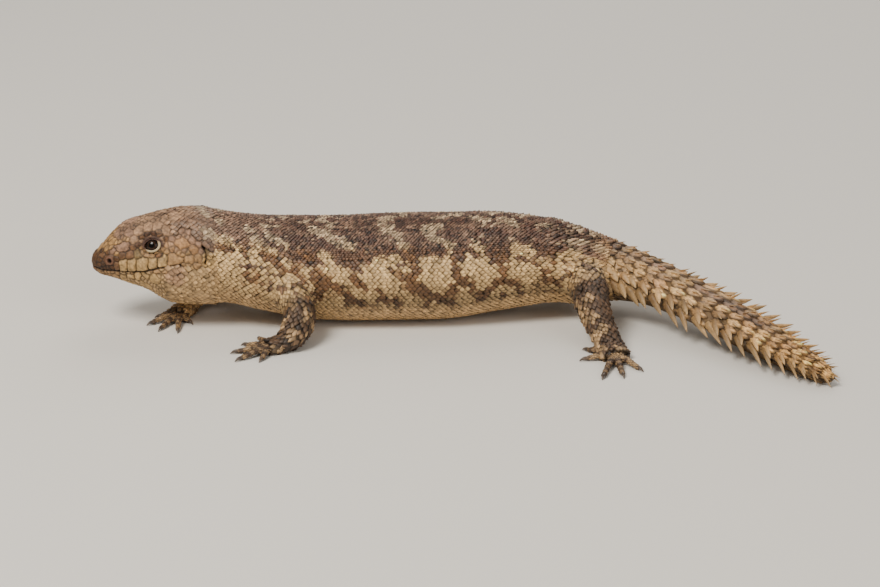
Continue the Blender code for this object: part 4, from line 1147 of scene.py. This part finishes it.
def trunk_stretch(name, start, end, pitch, columns, height, dark_rim, finer):
    """The scales of one stretch: keeled and smaller by the share finer on the back, flat below it."""
    coarse = lattice(start, end, pitch, columns)
    fine = lattice(start, end, pitch * finer * BACK_SHORT, int(columns / finer))
    s, share = (np.concatenate(pair) for pair in zip(coarse, fine))
    on_back = np.arange(len(s)) >= len(coarse[0])
    size = np.where(on_back, finer, 1.0)
    s = s + 0.10 * pitch * size * random.standard_normal(len(s))
    share = share + 0.04 / columns * random.standard_normal(len(s))
    turn = turn_at(s, share)
    points, axes = frames_on_body(s, turn, -SKIN_DEPTH)
    kept = (np.abs(np.degrees(turn)) < 57 + 9 * noise(points, 5.0, 71)) == on_back
    points, axes, s, share, turn, on_back, size = (
        values[kept] for values in (points, axes, s, share, turn, on_back, size))
    kept = settle(points, axes, skin_tree, 2.0)
    points, axes, s, share, turn, on_back, size = (
        values[kept] for values in (points, axes, s, share, turn, on_back, size))
    scale_roots.append(points)
    girth = np.interp(s, TABLE_S, TABLE_GIRTH)
    wide = girth / columns * size
    long = pitch * 1.03 * size * np.where(on_back, BACK_SHORT, 1.0)
    smooth_under = ease(0.72, 0.82, np.abs(share))
    tall = height * (0.35 + 0.65 * size) * (1 - 0.6 * smooth_under)
    tall = tall * (1 + 0.12 * random.standard_normal(len(s)))
    sizes = np.stack([long, wide, tall], -1)
    uneven = 0.12 + 0.18 * ease(75, 45, np.abs(np.degrees(turn)))
    spread = 0.45 * random.standard_normal((2, len(s)))
    colours = markings(points, s + spread[0], turn + spread[1] / 18)
    colours = colours * (1 + uneven * random.standard_normal(len(s)))[:, None]
    uv = np.stack([(s - start) / (end - start) * 0.98 + 0.01, share * 0.49 + 0.5], -1)
    parts = [copies(shape, points[which], axes[which], sizes[which], colours[which], uv[which], dark_rim)
             for shape, which in ((back_scale, on_back), (flank_scale, ~on_back))]
    joint, faces = joined([part[:2] for part in parts])
    piece = new_piece(name, joint, faces, *(np.concatenate([p[i] for p in parts]) for i in (2, 3)))
    piece.data.materials.append(scale_finish)
    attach(piece, "root")
    return piece


# The cobbles of the cheeks, throat and nape: small domed scales without a keel that stand close
# together behind the head's plates. They're copied on to the skin of the head.
rows = np.array(cobbles)
s, turn, share, colours = rows[:, 0], rows[:, 1], rows[:, 2], rows[:, 3:]
points, axes = frames_on_body(s, turn, -0.1)
settle(points, axes, surface_of(head), 2.5)
size = COBBLE * (0.98 + 0.10 * random.standard_normal(len(s)))
sizes = np.stack([size * 1.34, size * 1.22, 1.1 + 0.12 * random.standard_normal(len(s))], -1)
uv = np.stack([s / HEAD_REAR * 0.96 + 0.02, share * 0.48 + 0.5], -1)
cheek_scale = scale_shape(8, 0.02, 0.04)
cheeks = new_piece("cheek_scales", *copies(cheek_scale, points, axes, sizes, colours, uv, 0.6))
cheeks.data.materials.append(scale_finish)
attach(cheeks, "root")
scale_roots.append(points)


# The neck, chest, belly and loin: where each stretch starts and ends along the spine, the space
# between its rows, how many scales go round, how tall they are and how dark their rims are. The
# last value is how much finer those of the back are. Each is rooted in the skin.
trunk_stretch("neck_scales", 39.4, 62.0, 1.8, 58, 1.15, 0.5, 0.78)
trunk_stretch("chest_scales", 62.0, 94.0, 1.8, 62, 1.35, 0.46, 0.74)
trunk_stretch("belly_scales", 94.0, 124.0, 1.8, 62, 1.4, 0.46, 0.74)
trunk_stretch("loin_scales", 124.0, 148.0, 1.9, 60, 1.6, 0.44, 0.8)


# The scales of the hips: dry horny plates like those of the trunk, but larger, thicker and more
# strongly keeled. They're rooted in the skin in the same way and lead over to the tail's plates.
trunk_stretch("hip_scales", 148.0, 170.0, 2.4, 48, 2.0, 0.44, 0.9)


# The spines of the tail: horny plates in rings, each drawn out to a sharp spine, longest on
# the two sides, and the small flat plates under it. Plates and spines are rooted in the skin.
TAIL_START, TAIL_END = 168.0, 268.5
# The space from ring to ring at lengths along the spine.
RING_PITCH = (
    (168, 3.2), (180, 4.6), (195, 6.2), (215, 6.6), (235, 5.2), (248, 4.2), (258, 3.3), (269, 2.8),
)
# The rows round the tail, positive on the left side: degrees from the middle of the back, plate
# width in degrees, spine length, how far the spine stands out and how far it turns down.
TAIL_ROWS = (
    (0, 22, 2.1, 0.45, 0.0), (21, 22, 2.3, 0.35, 0.15), (42, 21, 2.6, 0.35, 0.3), (62, 20, 3.1, 0.22, 0.7),
    (84, 22, 4.7, 0.12, 0.8), (112, 26, 0.3, 0.1, 0.0), (138, 26, 0.2, 0.0, 0.0), (163, 26, 0.2, 0.0, 0.0),
    (-22, 22, 2.2, 0.5, 0.0), (-44, 22, 2.4, 0.8, 0.0), (-66, 22, 3.4, 0.9, 0.1), (-88, 21, 4.6, 0.8, 0.3),
    (-112, 26, 0.3, 0.1, 0.0), (-138, 26, 0.2, 0.0, 0.0), (-163, 26, 0.2, 0.0, 0.0),
)
tail_scale = scale_shape(14, 0.2, 0.26)
# Grooves run out from the keel of each plate: every other point inside its rim lies lower.
plate, _, rim, under = tail_scale
crest = np.flatnonzero(~rim & ~under & (np.hypot(plate[:, 0], plate[:, 1]) > 0.15))
grooves = crest[np.argsort(np.arctan2(plate[crest, 1], plate[crest, 0]))][::2]
plate[grooves, 2] -= 0.09
# Those lower points are painted darker too: partly the plates' brown lines, partly painted shade in the
# grooves.
groove_shade = np.ones(len(plate))
groove_shade[grooves] = 0.62
tail_finish = scaly("tail_plates", 0.85, 0.52, 0.8)
rings = [TAIL_START]
while rings[-1] < TAIL_END:
    rings.append(rings[-1] + float(np.interp(rings[-1], *np.transpose(RING_PITCH))))
rows = [(ring, *row) for row in TAIL_ROWS for ring in rings[:-1]]
s, degrees, span, spike, stand, droop = np.array(rows).T
pitch = np.interp(s, *np.transpose(RING_PITCH))
s = s + 0.07 * pitch * random.standard_normal(len(s)) - 0.15 * pitch * (np.abs(degrees) < 30)
degrees = degrees + 1.6 * random.standard_normal(len(s))
turn = np.radians(degrees)
points, axes = frames_on_body(s, turn, core(s, turn))
settle(points, axes, skin_tree, 1.5)
scale_roots.append(points)
half_width = spine.at(s)[:, 3]
size = np.clip(half_width / 9.5, 0.35, 1.0)
grown = ease(160, 194, s)
brush = ease(242, 256, s) * (np.abs(degrees) < 100)
grown = np.where(degrees < -30, ease(182, 218, s), grown)
spike = spike * (0.2 + 0.8 * grown) * size ** 0.6 * (1 + 0.1 * random.standard_normal(len(s)))
spike = np.where(brush > 0, np.maximum(spike, 3.0 * brush * np.clip(size / 0.6, 0.5, 1)), spike)
stand = stand + 0.25 * brush + 0.10 * random.standard_normal(len(s))
droop = droop + 0.10 * random.standard_normal(len(s))
wide = np.radians(span) * (half_width - 1.0 * grown) * 1.14
plate_long = pitch * 0.97
sideways = ease(40, 66, np.abs(degrees)) * ease(112, 92, np.abs(degrees))
colours = blend(markings(points, s, turn), TAIL_CREAM, 0.35 * sideways)
colours = colours * (1 + 0.19 * random.standard_normal((len(s), 1)))
# Painted shade: the plates under the tail are much darker. Those low on the sides are made a quarter darker
# as well.
under_tail = ease(100, 112, np.abs(degrees))
colours = colours * (1 - 0.62 * under_tail * grown)[:, None]
colours = colours * (1 - 0.25 * sideways * ease(74, 84, np.abs(degrees)))[:, None]
sizes = np.stack([plate_long * 1.04, np.maximum(wide, 0.9), 1.5 + 0.6 * grown * size * (1 - under_tail)], -1)
uv = np.stack([(s - TAIL_START) / (TAIL_END - TAIL_START) * 0.96 + 0.02, degrees / 180 * 0.48 + 0.5], -1)
placed, many, tints, patch = copies(tail_scale, points, axes, sizes, colours * 1.08, uv, 0.34)
plates_made = placed, many, tints * np.tile(groove_shade, len(points))[:, None], patch

# One horn: rings of six points that shrink to the tip, for a unit length and a unit half width.
HORN_SIDES = 6
horn_rings = []
for along_horn, thick in ((-0.25, 0.7), (0.1, 1.0), (0.5, 0.72), (0.8, 0.32)):
    ring_turn = np.linspace(0, 2 * np.pi, HORN_SIDES, endpoint=False)
    bend = 0.10 * along_horn**2
    horn_rings.append(np.stack([np.full(HORN_SIDES, along_horn), np.cos(ring_turn) * thick,
                                np.sin(ring_turn) * thick * 0.6 + bend * 3], -1))
horn_points, horn_faces = skinned(np.array(horn_rings))
horn_points[-1] = (1.0, 0.0, 0.32)
horn_faces = outward(horn_points, horn_faces)
long = plate_long * 0.42 + spike
half = np.maximum(wide, 0.9) * (0.15 + 0.21 * sideways) * np.clip(spike / 1.2, 0.3, 1)
way = unit(np.stack([np.ones(len(s)), -droop * np.sign(turn), stand], -1))
cross = unit(np.stack([-way[:, 1], np.ones(len(s)), np.zeros(len(s))], -1))
cross = unit(cross - way * (cross * way).sum(-1, keepdims=True))
lift_way = np.cross(way, cross)
turned = np.stack([way, cross, lift_way], 1)
horned = spike > 0.7
local = horn_points[None] * np.stack([long, half, half], -1)[:, None, :]
local = np.einsum("nvk,nkj->nvj", local, turned) + (0, 0, 0.45)
placed = points[:, None, :] + np.einsum("nvk,nkj->nvj", local, axes)
placed[..., 2] = np.maximum(placed[..., 2], 0.04)
placed = placed[horned]
horn_many = (horn_faces[None] + (np.arange(len(placed)) * len(horn_points))[:, None, None]).reshape(-1, 3)
tip_light = np.clip(horn_points[:, 0], 0, 1)
horn_tints = blend(colours[horned][:, None, :] * 0.8, SPINE_TIP, 0.75 * tip_light[None, :])
horn_uv = np.clip(uv[horned][:, None, :] + horn_points[None, :, :2] * (0.0015, 0.001), 0, 1)
points, many = joined([plates_made[:2], (placed.reshape(-1, 3), horn_many)])
tints = np.concatenate([plates_made[2], np.clip(horn_tints.reshape(-1, 3), 0.003, 1)])
patch = np.concatenate([plates_made[3], horn_uv.reshape(-1, 2)])
tail_spines = new_piece("tail_spines", points, many, tints, patch)
tail_spines.data.materials.append(tail_finish)
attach(tail_spines, "root")


# The scales of the legs and toes: smaller plates, with cross plates over the toes.
leg_scale = scale_shape(8, 0.2, 0.28)
leg_finish = scaly("leg_scales", 0.45, 0.55, 0.5)
LEG_PITCH = 1.9
root_tree = tree_of(np.concatenate(scale_roots))
for leg, track in leg_tracks.items():
    lengths, turns = [], []
    for i, s in enumerate(np.arange(5.0, track.length, LEG_PITCH / 2)):
        row = track.at(np.array(s))
        count = int(2 * np.pi * (row[3] + row[4]) / 2 / LEG_PITCH)
        lengths.append(np.full(count, s))
        turns.append((np.arange(count) + 0.5 * (i % 2)) / count * 2 * np.pi)
    s, turn = np.concatenate(lengths), np.concatenate(turns)
    s = s + 0.12 * LEG_PITCH * random.standard_normal(len(s))
    turn = turn + 0.035 * random.standard_normal(len(s))
    points, axes = frames_on_leg(track, s, turn, -0.25)
    keep = lift_of(points)[0] > 0.3
    points, axes, s, turn = points[keep], axes[keep], s[keep], turn[keep]
    kept = settle(points, axes, skin_tree, 2.0)
    free = np.array([root_tree.find(p)[2] > 1.0 for p in points])
    kept &= free
    points, axes, s, turn = points[kept], axes[kept], s[kept], turn[kept]
    row = track.at(s)
    big = LEG_PITCH * (1 + 0.1 * random.standard_normal(len(s)))
    sizes = np.stack([big * 1.25, big * 1.12, 1.25 + 0.25 * random.standard_normal(len(s))], -1)
    outside, index = lift_of(points)
    legs_own = leg_markings(points, -axes[:, 2, 0])
    colours = blend(markings(points, grid_s[index], grid_turn[index]), legs_own,
                    ease(3, 11.5, outside + 3 * noise(points, 3.0, 33)))
    colours = colours * (1 + 0.22 * random.standard_normal((len(s), 1)))
    uv = np.stack([s / track.length * 0.75 + 0.01, turn / (2 * np.pi) * 0.98 + 0.01], -1)
    parts = [copies(leg_scale, points, axes, sizes, colours, uv, 0.42)]
    for t, tip in enumerate(TOES[leg]):
        line, radii = toe_bones(leg, tip)[:2]
        bones = Track([tuple(p) + (r, r) for p, r in zip(line, radii)], 3)
        lengths, turns = [], []
        for i, step in enumerate(np.arange(2.0, bones.length - 0.3, 0.62)):
            count = 5
            lengths.append(np.full(count, step))
            turns.append((np.arange(count) + 0.5 * (i % 2)) / count * np.pi * 1.3 - 0.15 * np.pi)
        s, turn = np.concatenate(lengths), np.concatenate(turns)
        points, axes = frames_on_leg(bones, s, turn, -0.1)
        kept = settle(points, axes, skin_tree, 0.8)
        points, axes, s, turn = points[kept], axes[kept], s[kept], turn[kept]
        sizes = np.stack([np.full(len(s), 1.25), np.full(len(s), 1.0), np.full(len(s), 0.6)], -1)
        colours = blend(leg_markings(points), LEG_PALE, 0.6 * ease(-0.2, 0.6, np.sin(2.2 * s + t)))
        colours = colours * (1 + 0.12 * random.standard_normal((len(s), 1)))
        uv = np.stack([0.8 + s / bones.length * 0.18, (t + turn / (2 * np.pi) % 1) / 5 * 0.98 + 0.01], -1)
        parts.append(copies(leg_scale, points, axes, sizes, colours, uv))
    points, faces = joined([(p[0], p[1]) for p in parts])
    piece = new_piece(leg + "_scales", points, faces,
                      np.concatenate([p[2] for p in parts]), np.concatenate([p[3] for p in parts]))
    piece.data.materials.append(leg_finish)
    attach(piece, "root")


# The claws: dark horn, slim and round, one on each toe. Each is a row of rings that shrink along
# a curved line, with its root pushed into the end of the toe and its point bent to the ground.
claw_parts = []
for leg in LEGS:
    for tip in TOES[leg]:
        line, _, way = toe_bones(leg, tip)
        end = line[-1]
        hook = np.array([end - way * 1.0 + (0, 0, 0.15), end + way * 0.5 + (0, 0, 0.3),
                         end + way * 1.4 + (0, 0, 0.1), end + way * CLAW_LENGTH - (0, 0, 0.5)])
        claw_parts.append(skinned(tube_rings(hook, (0.64, 0.56, 0.38, 0.08), 10, 12)))
points, faces = joined([(p, outward(p - p.mean(0), f)) for p, f in claw_parts])
points[:, 2] = np.maximum(points[:, 2], 0.02)
claws = new_piece("claws", points, faces)
horn = Finish("claw_horn", Roughness=0.35, Specular_IOR_Level=0.5)
streak = horn.noise(900.0, 3.0)
tone = horn.node("ShaderNodeValToRGB", {"stops": ((0.3, (0.03, 0.02, 0.014)), (0.7, (0.12, 0.08, 0.055)))},
                 {"Fac": streak})
horn.feed(horn.shader, {"Base Color": tone.outputs["Color"], "Normal": horn.bump(streak, 0.0001, 0.3)})
claws.data.materials.append(horn.material)
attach(claws, "root")


# The stage: a plain pale floor with soft light from above, from the side and from behind. The
# camera stands on the animal's left, level with its middle, and looks a little down on it.
ROOM_LIGHT = 0.4
CAMERA_LENS, CAMERA_SENSOR = 100.0, 36.0
CAMERA_SPOT = (-0.004376, -0.75565, 0.2818)
CAMERA_TILT = 70.0

bpy.ops.mesh.primitive_plane_add(size=6.0, location=(0, 0, 0))
floor = bpy.context.object
floor.name = "floor"
floor_finish = Finish("floor_pale", Roughness=0.9, Base_Color=(0.70, 0.67, 0.62, 1.0))
floor.data.materials.append(floor_finish.material)

world = bpy.data.worlds.new("room")
bpy.context.scene.world = world
world.use_nodes = True
room = world.node_tree.nodes["Background"]
room.inputs["Color"].default_value = (0.88, 0.86, 0.82, 1.0)
room.inputs["Strength"].default_value = ROOM_LIGHT


def soft_light(name, spot, size, power, colour):
    """A square lamp that shines on the middle of the floor."""
    data = bpy.data.lights.new(name, "AREA")
    data.size = size
    data.energy = power
    data.color = colour
    lamp = bpy.data.objects.new(name, data)
    bpy.context.scene.collection.objects.link(lamp)
    lamp.location = spot
    lamp.rotation_euler = (-Vector(spot)).to_track_quat("-Z", "Y").to_euler()


soft_light("key_light", (-0.5, -0.55, 1.0), 0.5, 17.0, (1.0, 0.95, 0.87))
soft_light("fill_light", (0.7, -0.8, 0.5), 0.8, 4.0, (1.0, 0.97, 0.93))
soft_light("back_light", (0.2, 0.9, 0.8), 0.8, 5.0, (1.0, 0.97, 0.92))

camera_data = bpy.data.cameras.new("camera")
camera_data.lens = CAMERA_LENS
camera_data.sensor_width = CAMERA_SENSOR
camera = bpy.data.objects.new("camera", camera_data)
bpy.context.scene.collection.objects.link(camera)
camera.location = CAMERA_SPOT
camera.rotation_euler = (np.radians(CAMERA_TILT), 0.0, 0.0)
bpy.context.scene.camera = camera
